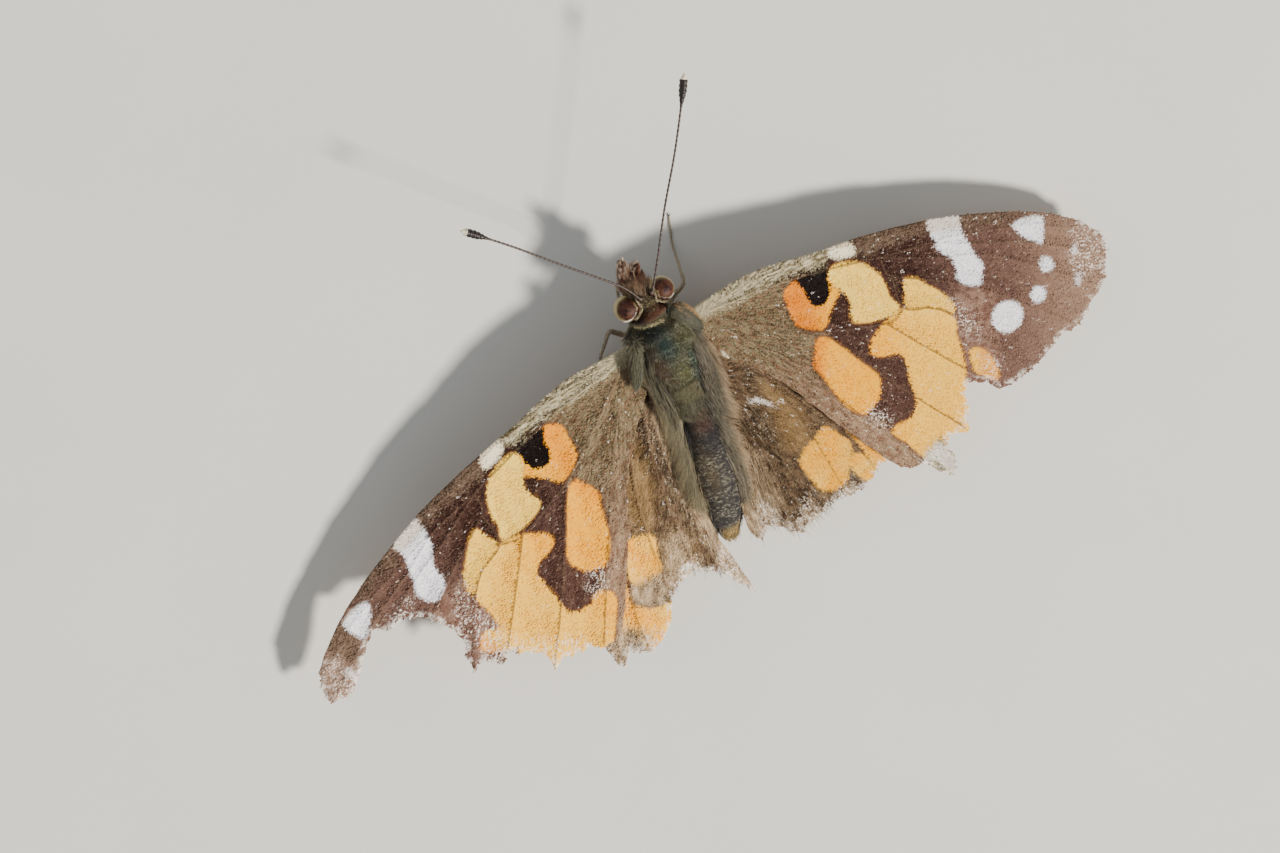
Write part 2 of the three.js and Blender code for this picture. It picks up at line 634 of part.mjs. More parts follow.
function addNode(name, geometry, look) {
  const mesh = new THREE.Mesh(geometry, new THREE.MeshStandardMaterial(LOOKS[look]));
  mesh.name = name;
  butterfly.add(mesh);
  return mesh;
}

addNode("head", trunk(HEAD, 9, 16), "fur");
addNode("prothorax", trunk(PROTHORAX, 5, 18), "collar");
addNode("mesothorax", trunk(MESOTHORAX, 12, 20), "fur");
addNode("metathorax", trunk(METATHORAX, 5, 18), "fur");
addNode("abdomen", abdomen(), "abdomen");
addNode("proboscis", proboscis(), "horn");

for (const [suffix, side] of [["left", -1], ["right", 1]]) {
  const left = side < 0;
  const eyeMesh = addNode(`eye_${suffix}`, eye(), "eye");
  eyeMesh.rotation.z = (-side * Math.PI) / 2;
  eyeMesh.position.set(side * EYE_BACK_X, EYE_Y, EYE_Z);
  addNode(`palp_${suffix}`, palp(left ? PALP_LEFT : PALP_RIGHT), "palp");
  addNode(`antenna_${suffix}`, antenna(side, left ? ANTENNA_LEFT : ANTENNA_RIGHT), "horn");
  addNode(`tegula_${suffix}`, tegula(side), "fur");
  addNode(`forewing_${suffix}`, foreWing(side, left ? FORE_MARGIN_LEFT : FORE_MARGIN_RIGHT), "wing");
  const hindMargin = left ? HIND_MARGIN_LEFT : HIND_MARGIN_RIGHT;
  const hindInner = left ? HIND_INNER_LEFT : HIND_INNER_RIGHT;
  addNode(`hindwing_${suffix}`, hindWing(side, hindMargin, hindInner), "hindwing");
  addNode(`foreleg_${suffix}`, foreLeg(side), "leg");
  addNode(`midleg_${suffix}`, walkingLeg(left ? MIDLEG_LEFT : MIDLEG_RIGHT), "leg");
  addNode(`hindleg_${suffix}`, walkingLeg(mirrored(HINDLEG, side)), "leg");
}

// The middle of the animal's box over the floor becomes the origin
const box = new THREE.Box3().setFromObject(butterfly, true);
const middle = box.getCenter(new THREE.Vector3());
butterfly.position.set(-middle.x, -middle.y, -box.min.z);

export default butterfly;
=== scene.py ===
import math

import bpy
import numpy as np
from mathutils import Matrix, Vector
from mathutils.geometry import delaunay_2d_cdt


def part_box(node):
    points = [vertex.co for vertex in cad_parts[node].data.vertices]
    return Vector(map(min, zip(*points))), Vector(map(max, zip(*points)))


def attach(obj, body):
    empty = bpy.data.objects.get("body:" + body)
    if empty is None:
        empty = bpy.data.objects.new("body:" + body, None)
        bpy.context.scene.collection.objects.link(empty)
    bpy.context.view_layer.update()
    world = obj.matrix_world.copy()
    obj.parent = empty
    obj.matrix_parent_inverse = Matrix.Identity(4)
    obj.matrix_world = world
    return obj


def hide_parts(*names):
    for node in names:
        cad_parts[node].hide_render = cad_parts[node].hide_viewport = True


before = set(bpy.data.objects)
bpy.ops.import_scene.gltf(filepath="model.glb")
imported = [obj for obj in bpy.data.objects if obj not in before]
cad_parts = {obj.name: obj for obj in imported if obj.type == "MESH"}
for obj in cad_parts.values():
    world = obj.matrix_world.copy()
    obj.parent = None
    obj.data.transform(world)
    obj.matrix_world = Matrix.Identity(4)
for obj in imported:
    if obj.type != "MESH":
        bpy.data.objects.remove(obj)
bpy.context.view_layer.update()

# Sizes are in millimetres, in the body's own frame: the origin lies midway between the forewing
# hinges, +X is the butterfly's right, +Y points ahead and +Z up. Only to_world() leaves that frame.
MM = 0.001
TURN = 2 * math.pi
SIDES = (("left", -1), ("right", 1))
FLOOR_DROP = 6.0
HEAD_FRONT_Y = 4.05
WING_DROOP = math.radians(6)
FORE_SWEEP = math.radians(23)
FORE_HINGE_X = 3.24
FORE_CAMBER = 0.3
HIND_BELOW_FORE = 1.25
HIND_FOLD_DEPTH = 1.5

# Wing sheets and their scales; the right wings are painted darker, a painted shade that stands for the light
# falling more on the left wings
SHEET_STEP = 0.2
SHEET_HALF = 0.05
MARGIN_STEP = 0.16
MARGIN_TEAR = 0.085
INNER_TEAR = 0.03
FORE_LIFT = -0.12
HIND_LIFT = 0.15
FORE_PAINTED_SHADE = {-1: 1.0, 1: 0.9}
HIND_PAINTED_SHADE = {-1: 1.0, 1: 0.8}
RIDGE_HEIGHT = 0.085
RIDGE_WIDTH = 0.09
RIDGE_ROWS = (0, -0.08, 0.08, -0.18, 0.18)
CLEAR_OF_VEINS = 0.27
PLEAT_DEPTH = 0.13
SCALE_SPACING = 0.112
SCALE_LENGTH = 0.21
SCALE_WIDTH = 0.125

# Body and coat
TRUNK_POWER = 2.4
COAT_DEPTH = 0.2
HAIR_FLATTEN = 0.6
# Hairs are painted darker at the root and lighter to the tip: painted shade deep in the coat and painted light
# at the tips
HAIR_ROOT_SHADE = 0.72
HAIR_TIP_GAIN = 0.42
HAIR_WIDTHS = (0.04, 0.065)
BAKE_PATCH = 0.003
ROUTE_STEP = 0.05
EYE_CENTRE = (1.33, 2.83, -0.3)
EYE_RADII = (0.9, 0.88, 0.92)

thorax_low, thorax_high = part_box("mesothorax")
OFFSET = np.array([
    (thorax_low.x + thorax_high.x) / 2 / MM,
    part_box("head")[1].y / MM - HEAD_FRONT_Y,
    FLOOR_DROP,
])


# Numbers, curves and meshes

def to_world(points):
    return (np.asarray(points) + OFFSET) * MM


def smoothstep(low, high, value):
    place = np.clip((value - low) / (high - low), 0, 1)
    return place * place * (3 - 2 * place)


def unit(vectors):
    return vectors / np.maximum(np.linalg.norm(vectors, axis=-1, keepdims=True), 1e-9)


def crosswise(line):
    """The direction across a flat line at each of its points."""
    return unit(np.gradient(line, axis=0)[:, ::-1] * [1, -1])


def even_steps(line, step):
    """Points at an even step along a broken line, both ends included."""
    run = np.concatenate([[0], np.cumsum(np.linalg.norm(np.diff(line, axis=0), axis=1))])
    places = np.linspace(0, run[-1], max(2, round(run[-1] / step) + 1))
    return np.stack([np.interp(places, run, column) for column in line.T], axis=1)


def spline(points, step, closed=False):
    """Points at an even step along a smooth curve through the given ones."""
    knots = np.asarray(points, float)
    if closed:
        chain = np.vstack([knots[-1:], knots, knots[:2]])
    else:
        chain = np.vstack([2 * knots[:1] - knots[1:2], knots, 2 * knots[-1:] - knots[-2:-1]])
    t = np.linspace(0, 1, 13)[:-1, None]
    spans = [
        b + 0.5 * ((c - a) * t + (2 * a - 5 * b + 4 * c - d) * t**2 + (3 * b - a - 3 * c + d) * t**3)
        for a, b, c, d in zip(chain, chain[1:], chain[2:], chain[3:])
    ]
    line = even_steps(np.vstack(spans + [chain[-2:-1]]), step)
    return line[:-1] if closed else line


def line_distance(points, line, closed=False):
    """Distance of each point to a broken line, the place along it (0 to 1) and, if closed, what is inside."""
    starts = line if closed else line[:-1]
    ends = np.roll(line, -1, 0) if closed else line[1:]
    best = np.full(len(points), np.inf)
    place = np.zeros(len(points))
    inside = np.zeros(len(points), bool)
    x, y = points.T
    for index, (a, b) in enumerate(zip(starts, ends)):
        edge = b - a
        offset = points - a
        t = np.clip(offset @ edge / max(edge @ edge, 1e-12), 0, 1)
        gap = np.hypot(*(offset - t[:, None] * edge).T)
        nearer = gap < best
        best[nearer] = gap[nearer]
        place[nearer] = (index + t[nearer]) / len(starts)
        if closed and a[1] != b[1]:
            crosses = (a[1] > y) != (b[1] > y)
            inside ^= crosses & (x < edge[0] * (y - a[1]) / edge[1] + a[0])
    return best, place, inside


def inside_depth(points, outline):
    """How deep each point lies inside a closed outline, less than zero outside it."""
    gap, _, inside = line_distance(points, outline, closed=True)
    return np.where(inside, gap, -gap)


def depth_in_marks(points, marks):
    """Greatest depth in any of a list of marks, each a smooth closed curve or a (centre, radii) spot."""
    depth = np.full(len(points), -30.0)
    for mark in marks:
        if len(mark) == 2:
            (cx, cy), (rx, ry) = mark
            turn = np.linspace(0, TURN, 20, endpoint=False)
            outline = np.stack([cx + rx * np.cos(turn), cy + ry * np.sin(turn)], axis=1)
        else:
            outline = spline(mark, 0.35, closed=True)
        depth = np.maximum(depth, inside_depth(points, outline))
    return depth


def make_piece(name, slot, points, triangles, materials, layers, uv=None, material_index=None, smooth=True,
               replaced=()):
    """A mesh object riding on the body, with its layers of numbers and the solids it replaces; the slot is not
    used.
    """
    mesh = bpy.data.meshes.new(name)
    mesh.vertices.add(len(points))
    mesh.vertices.foreach_set("co", to_world(points).astype(np.float32).ravel())
    corners = np.asarray(triangles, np.int32)
    mesh.loops.add(corners.size)
    mesh.loops.foreach_set("vertex_index", corners.ravel())
    mesh.polygons.add(len(corners))
    mesh.polygons.foreach_set("loop_start", np.arange(0, corners.size, 3, dtype=np.int32))
    if material_index is not None:
        mesh.polygons.foreach_set("material_index", np.asarray(material_index, np.int32))
    for layer, values in layers.items():
        values = np.asarray(values, np.float32)
        kind, field = ("FLOAT", "value") if values.ndim == 1 else ("FLOAT_VECTOR", "vector")
        mesh.attributes.new(layer, kind, "POINT").data.foreach_set(field, values.ravel())
    if uv is not None:
        coat_map = mesh.uv_layers.new(name="OFBake")
        coat_map.data.foreach_set("uv", np.asarray(uv, np.float32)[corners.ravel()].ravel())
    mesh.update(calc_edges=True)
    mesh.validate()
    if smooth:
        mesh.shade_smooth()
    else:
        mesh.shade_flat()
    for material in materials:
        mesh.materials.append(material)
    piece = bpy.data.objects.new(name, mesh)
    bpy.context.scene.collection.objects.link(piece)
    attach(piece, "root")
    if replaced:
        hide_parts(*replaced)


def toned(points, tone, shade=1.0):
    """The layers of a piece without hair: one colour or one for each point, times a factor (painted shade for
    pieces under hair), and the place for its noise.
    """
    return {"tone": np.broadcast_to(np.asarray(tone) * shade, points.shape), "spot": points}


def loft(rings):
    """Corners and triangles of a closed body through rings (count, sides, 3), with a fan at each end."""
    count, sides, _ = rings.shape
    points = np.vstack([rings.reshape(-1, 3), rings[0].mean(0), rings[-1].mean(0)])
    ring, side = np.meshgrid(np.arange(count - 1), np.arange(sides), indexing="ij")
    a = (ring * sides + side).ravel()
    b = (ring * sides + (side + 1) % sides).ravel()
    walls = np.vstack([np.stack([a, b, b + sides], 1), np.stack([a, b + sides, a + sides], 1)])
    here = np.arange(sides)
    ahead = (here + 1) % sides
    last = (count - 1) * sides
    front = np.stack([ahead, here, np.full(sides, count * sides)], 1)
    rear = np.stack([last + here, last + ahead, np.full(sides, count * sides + 1)], 1)
    triangles = np.vstack([walls, front, rear])
    a, b, c = points[triangles].transpose(1, 0, 2)
    if np.einsum("ij,ij->", a - points.mean(0), np.cross(b - points.mean(0), c - points.mean(0))) < 0:
        triangles = triangles[:, ::-1]
    return points, triangles


def ball_ways(poles, sides):
    """Ways from the middle of a ball, in rings round its first axis."""
    pole, turn = np.meshgrid(poles, np.linspace(0, TURN, sides, endpoint=False), indexing="ij")
    return np.stack([np.cos(pole), np.sin(pole) * np.cos(turn), np.sin(pole) * np.sin(turn)], axis=-1)


def tube(route, radius, step=0.1, sides=10, guide=(0, 0, 1)):
    """A round limb along a smooth route, its radius a function of the place along it, 0 to 1."""
    centres = spline(route, step)
    place = np.linspace(0, 1, len(centres))
    forward = unit(np.gradient(centres, axis=0))
    across = unit(np.cross(forward, guide))
    upward = np.cross(across, forward)
    turn = np.linspace(0, TURN, sides, endpoint=False)[None, :, None]
    rings = centres[:, None] + radius(place)[:, None, None] * (
        np.cos(turn) * across[:, None] + np.sin(turn) * upward[:, None])
    points, triangles = loft(rings)
    return points, triangles, np.concatenate([np.repeat(place, sides), [0, 1]])


def around_route(centres, place, turn):
    """Middles on a route, the way along it there, and the way out from it at a turn."""
    index = np.minimum((place * len(centres)).astype(int), len(centres) - 1)
    ahead = unit(np.gradient(centres, axis=0))[index]
    across = unit(np.cross(ahead, [0, 0, 1]))
    outward = np.cos(turn)[:, None] * across + np.sin(turn)[:, None] * np.cross(across, ahead)
    return centres[index], ahead, outward


def joined(bodies):
    """Several (points, triangles, layers) as one."""
    points, triangles, layers = [], [], {}
    start = 0
    for body_points, body_triangles, body_layers in bodies:
        points.append(body_points)
        triangles.append(np.asarray(body_triangles) + start)
        start += len(body_points)
        for key, values in body_layers.items():
            layers.setdefault(key, []).append(values)
    return np.vstack(points), np.vstack(triangles), {key: np.concatenate(v) for key, v in layers.items()}


def hairs(roots, forward, normal, length, width, bend=0.0, rings=2, sink=0.05):
    """Tapered three-sided hairs, each closed: rings of corners from the root and then the tip."""
    side = unit(np.cross(forward, normal))
    up = np.cross(side, forward)
    places = np.linspace(0, 1, rings + 1)
    corners = []
    for place in places[:-1]:
        centre = roots - sink * normal + length[:, None] * (place * forward + place**2 * bend)
        half = 0.5 * width[:, None] * (1 - 0.8 * place**2) * (1 if place else 0.75)
        for angle in np.array([0.5, 0.5 + 2 / 3, 0.5 + 4 / 3]) * math.pi:
            corners.append(centre + half * (math.cos(angle) * side + HAIR_FLATTEN * math.sin(angle) * up))
    corners.append(roots - sink * normal + length[:, None] * (forward + bend))
    points = np.stack(corners, axis=1)
    per_hair = points.shape[1]
    edges = ((0, 1), (1, 2), (2, 0))
    faces = [[0, 2, 1]]
    for low in range(0, 3 * (rings - 1), 3):
        for a, b in edges:
            faces += [[low + a, low + b, low + 3 + b], [low + a, low + 3 + b, low + 3 + a]]
    last = 3 * (rings - 1)
    faces += [[last + a, last + b, per_hair - 1] for a, b in edges]
    triangles = (np.arange(len(roots))[:, None, None] * per_hair + np.array(faces)).reshape(-1, 3)
    tip_place = np.concatenate([np.repeat(places[:-1], 3), [1]])
    return points.reshape(-1, 3), triangles, per_hair, tip_place


def bake_patches(root_uv, spread):
    """A small patch of the bake map for each hair or scale, at its root's place on the skin's own unwrap."""
    return (np.clip(root_uv, 0.01, 0.99)[:, None] + spread * BAKE_PATCH).reshape(-1, 2)


def hair_patches(root_uv, per_hair, tip_place):
    corner = np.tile([0, 0.5, 1], per_hair)[:per_hair]
    return bake_patches(root_uv, np.stack([tip_place, corner], axis=1) - 0.5)


# Materials

def srgb(colour):
    channel = np.array(colour) / 255
    return np.where(channel <= 0.04045, channel / 12.92, ((channel + 0.055) / 1.055) ** 2.4)


class Finish:
    """A node material; every method adds a node and gives back its output socket. Colours are 0 to 255."""

    def __init__(self, name, roughness, sheen=0.0, specular=0.3):
        self.material = bpy.data.materials.new(name)
        self.material.use_nodes = True
        self.tree = self.material.node_tree
        self.shader = self.tree.nodes["Principled BSDF"]
        self.shader.inputs["Roughness"].default_value = roughness
        self.shader.inputs["Specular IOR Level"].default_value = specular
        self.shader.inputs["Sheen Weight"].default_value = sheen

    def node(self, kind, inputs, output=0, **settings):
        node = self.tree.nodes.new(kind)
        for key, value in settings.items():
            setattr(node, key, value)
        for key, value in inputs.items():
            socket = node.inputs[key]
            if isinstance(value, bpy.types.NodeSocket):
                self.tree.links.new(value, socket)
            else:
                socket.default_value = value
        return node.outputs[output]

    def layer(self, name, output="Fac"):
        return self.node("ShaderNodeAttribute", {}, output, attribute_name=name)

    def math(self, operation, first, second):
        return self.node("ShaderNodeMath", {0: first, 1: second}, operation=operation)

    def plus(self, first, second):
        return self.math("ADD", first, second)

    def times(self, first, second):
        return self.math("MULTIPLY", first, second)

    def swing(self, noise, amount):
        """Noise of 0 to 1 as a swing to both sides of zero."""
        return self.times(self.math("SUBTRACT", noise, 0.5), amount)

    def ramp(self, value, low, high, to_low=0.0, to_high=1.0):
        inputs = {"Value": value, "From Min": low, "From Max": high, "To Min": to_low, "To Max": to_high}
        return self.node("ShaderNodeMapRange", inputs, interpolation_type="SMOOTHSTEP")

    def mix(self, share, first, second, blend="MIX"):
        first, second = (colour if isinstance(colour, bpy.types.NodeSocket) else (*srgb(colour), 1.0)
                         for colour in (first, second))
        inputs = {0: share, 6: first, 7: second}
        return self.node("ShaderNodeMix", inputs, 2, data_type="RGBA", blend_type=blend)

    def blend(self, value, low, high, first, second, most=1.0):
        """From one colour to another as a value rises."""
        return self.mix(self.ramp(value, low, high, 0.0, most), first, second)

    def layered(self, colour, *layers):
        """A colour under layers, each the share that it covers and its colour."""
        for share, over in layers:
            colour = self.mix(share, colour, over)
        return colour

    def dimmed(self, colour, value):
        grey = self.node("ShaderNodeCombineColor", {0: value, 1: value, 2: value})
        return self.mix(1.0, colour, grey, "MULTIPLY")

    def stretch(self, vector, factors):
        return self.node("ShaderNodeVectorMath", {0: vector, 1: factors}, operation="MULTIPLY")

    def noise(self, vector, scale, detail=2.0, rough=0.5):
        inputs = {"Vector": vector, "Scale": scale, "Detail": detail, "Roughness": rough}
        return self.node("ShaderNodeTexNoise", inputs)

    def cells(self, vector, scale):
        return self.node("ShaderNodeTexVoronoi", {"Vector": vector, "Scale": scale}, "Distance")

    def finish(self, colour, height, strength, distance):
        inputs = {"Height": height, "Strength": strength, "Distance": distance * MM}
        bump = self.node("ShaderNodeBump", inputs)
        self.tree.links.new(colour, self.shader.inputs["Base Color"])
        self.tree.links.new(bump, self.shader.inputs["Normal"])
        return self.material


# Marks of the wings

# Marks that both forewings have, and then those of one side only, with its worn places. Places are
# [distance out along the leading edge, distance behind it] from the hinge. A mark is a smooth closed
# curve through its points, or a (centre, radii) spot.
FORE_MARKS = {
    "orange": [
        [[6, -0.5], [6.45, -0.95], [7.2, -1.2], [8.5, -1.2], [9.25, -1], [9.6, -0.3], [10, 0.1], [9.7, 0.6],
         [9.15, 1.5], [8.95, 2.1], [8.6, 2.45], [7.8, 2.4], [7, 2.15], [6.55, 1.8], [6.3, 1], [5.95, 0.1]],
        [[8, 3.1], [8.6, 3], [9.2, 3.3], [10, 4], [11, 4.9], [12, 5.75], [12.5, 6.3], [12.6, 7.1],
         [12.4, 7.9], [11.8, 8.5], [11.2, 8.75], [10.5, 8.35], [9.8, 7.8], [9.2, 7], [8.7, 6.2], [8.2, 5.5],
         [7.75, 5], [7.8, 4.4], [7.9, 3.7]],
        [[13, 2.75], [13.7, 2.3], [14.5, 1.92], [15.6, 2.03], [16.8, 2.25], [17.8, 2.7], [18.45, 3.2],
         [18.5, 4.1], [18.6, 4.8], [18.8, 5.5], [18.9, 6.6], [19, 7.6], [19.6, 8.4], [19.6, 9.8],
         [18.6, 11.8], [16.6, 12.8], [15.4, 12.2], [14.4, 11.2], [13.3, 10.3], [13.9, 9.85], [14.7, 9.6],
         [15.15, 9.1], [15.2, 8.4], [15, 7.7], [14.8, 6.9], [14.7, 6], [14.4, 5.2], [13.7, 4.95], [12.9, 5],
         [12.2, 4.85], [11.95, 4.5], [12.15, 3.9], [12.5, 3.3]],
        [[14.85, -0.1], [15.6, 0], [16.3, 0.5], [17.1, 1], [17.8, 1.6], [18.3, 2.2], [18.3, 2.9],
         [17.4, 2.5], [16.3, 2.15], [15.3, 2], [14.6, 1.88], [14.75, 0.9]],
    ],
    "cream": [
        [[9.25, -1.5], [10.2, -1.8], [11.4, -1.7], [12.2, -1.25], [13, -0.6], [13.5, 0.3], [13.75, 1.1],
         [14.35, 1.75], [14.1, 2.05], [13.4, 2.3], [12.4, 2.5], [11.2, 2.45], [10.75, 2.3], [10.65, 1.7],
         [10.75, 1], [10.5, 0.5], [10.1, 0.1], [9.7, -0.2], [9.4, -0.6]],
    ],
    "black": [
        [[6.7, -1.1], [7.2, -1.35], [7.8, -1.55], [8.6, -1.7], [9.1, -1.5], [9.15, -0.9], [9.3, -0.3],
         [9.25, 0.25], [8.9, 0.7], [8.45, 0.92], [8.05, 0.8], [7.7, 0.45], [7.5, -0.1], [7.3, -0.45],
         [7, -0.75]],
    ],
    "white": [
        [[16.9, -3.9], [18.2, -4], [19.3, -3.6], [19.3, -2.7], [19.6, -2.1], [19.9, -1.6], [20.2, -0.9],
         [20.7, -0.3], [20.75, 0.4], [20.4, 1.2], [19.9, 1.25], [19, 0.95], [18.6, 0.5], [18.6, -0.1],
         [18.35, -0.75], [17.9, -1.15], [17.4, -1.6], [17.2, -2.2], [16.9, -2.8]],
        [[23.1, -2.5], [23.7, -2.85], [24.6, -2.95], [25.4, -2.8], [25.5, -2.2], [25.4, -1.3],
         [25.15, -0.85], [24.5, -1.15], [23.9, -1.45], [23.4, -1.9]],
        [[9.3, -3.7], [10.2, -3.7], [11.1, -3.1], [11.45, -2.2], [10.6, -1.95], [9.7, -2], [9.2, -2.6]],
        ((25.4, 0.5), (0.58, 0.58)), ((24.7, 2.5), (0.63, 0.62)), ((22.3, 3.65), (1.22, 1.15)),
        ((27.6, -0.15), (0.3, 0.45)), ((27.7, 1.9), (0.32, 0.55)),
    ],
    "basal": [
        [[-3, -3], [1, -3], [4, -2.2], [6.5, -1.1], [6, -0.3], [6.1, 0.6], [6.5, 1.7], [6.9, 2.35],
         [7.9, 2.55], [8.8, 2.65], [9, 2.95], [8.3, 3.05], [7.95, 3.5], [7.8, 4.3], [7.7, 4.9], [8.2, 5.6],
         [8.9, 6.6], [9.6, 7.5], [10.4, 8.2], [11.2, 8.7], [12, 8.9], [12.5, 9.3], [13.1, 9.9], [14, 10.7],
         [15.5, 12.4], [14, 14.5], [6, 9], [-3, 4]],
    ],
    "costal": [
        [[-3, -4.5], [6, -4.5], [9.2, -4.2], [9, -1.95], [7.4, -1.65], [6, -1.35], [4.4, -0.85],
         [2.5, -0.2], [0.5, 0.35], [-3, 0.6]],
    ],
    "costa_dark": [
        [[11.4, -4.5], [16.8, -4.5], [17.2, -3], [15.5, -2.75], [13.4, -2.3], [11.6, -1.95], [11.2, -3]],
        [[19.4, -4.5], [23.3, -4.2], [23.4, -2.9], [21.4, -2.75], [19.7, -2.6]],
    ],
}
FORE_OWN_MARKS = {
    -1: {
        "worn": [
            [[17.8, 1.7], [18.8, 1.9], [20, 2.7], [21.4, 3.6], [21.2, 4.8], [20.2, 5], [19, 4.2],
             [18.2, 2.8]],
            [[19, 4], [20.6, 5.2], [20.8, 7.2], [19.4, 8.2], [18.2, 10.2], [16.6, 11.4], [16, 10.6],
             [17.8, 8.6], [18.8, 6.8]],
            [[11.4, 8.3], [12.6, 8.4], [13.4, 9.3], [12.8, 10], [11.6, 9.3]],
            ((28.4, 0.2), (1.2, 1.2)), ((22.4, -0.2), (1.2, 0.5)), ((28.1, -1.35), (0.75, 0.33)),
        ],
        "orange": [
            [[20.1, 5.2], [19.2, 5.7], [18.3, 6.3], [17.4, 7], [18, 8.2], [19.2, 7.8], [20.2, 7], [20.9, 6]],
            [[12.7, 9.7], [13.6, 9.7], [14.6, 10.8], [15.8, 12.2], [15.3, 13], [13.6, 11.9], [12.4, 10.8]],
        ],
        "costa_dark": [
            [[25.2, -3], [26, -3.1], [27.1, -2.6], [27.4, -1.7], [27.2, -0.8], [26.4, -0.2], [25.7, -0.9],
             [25.1, -1.6]],
        ],
    },
    1: {
        "worn": [
            [[17.8, 1.9], [18.8, 2.2], [19.8, 3.2], [20.2, 4.6], [19.2, 4.4], [18.4, 3]],
            [[11.4, 8.3], [12.6, 8.4], [13.4, 9.3], [12.8, 10], [11.6, 9.3]],
            ((28.1, -1.35), (0.75, 0.33)), ((18.6, 10.2), (0.4, 0.9)), ((20.9, 6.9), (0.6, 0.8)),
            ((16.6, 12.6), (1.2, 0.7)), ((28.4, 0.4), (1.2, 1.4)),
        ],
        "white": [
            # A painted glint: the white streak near the root stands for light caught on the scales there
            [[1.03, 2.72], [1.45, 3.05], [1.8, 3.5], [1.66, 3.62], [1.3, 3.25], [0.98, 2.9]],
            [[15.5, 12.55], [15.9, 12.1], [16.4, 11.85], [16.8, 11.45], [17.1, 11.6], [17.4, 12.1],
             [17.8, 12.7], [18.35, 13.3], [17.8, 13.9], [17.1, 13.2], [16.3, 12.75]],
        ],
        "orange": [
            [[19.4, 5.6], [20.2, 5.5], [21, 6.2], [21.5, 7.5], [21.3, 7.9], [20.4, 7.5], [19.6, 7]],
        ],
        "costal": [
            [[16.2, 11.8], [17, 11.3], [18, 12.2], [18.6, 13.3], [17.6, 14.3], [16.4, 13.4], [15.6, 12.7]],
        ],
    },
}

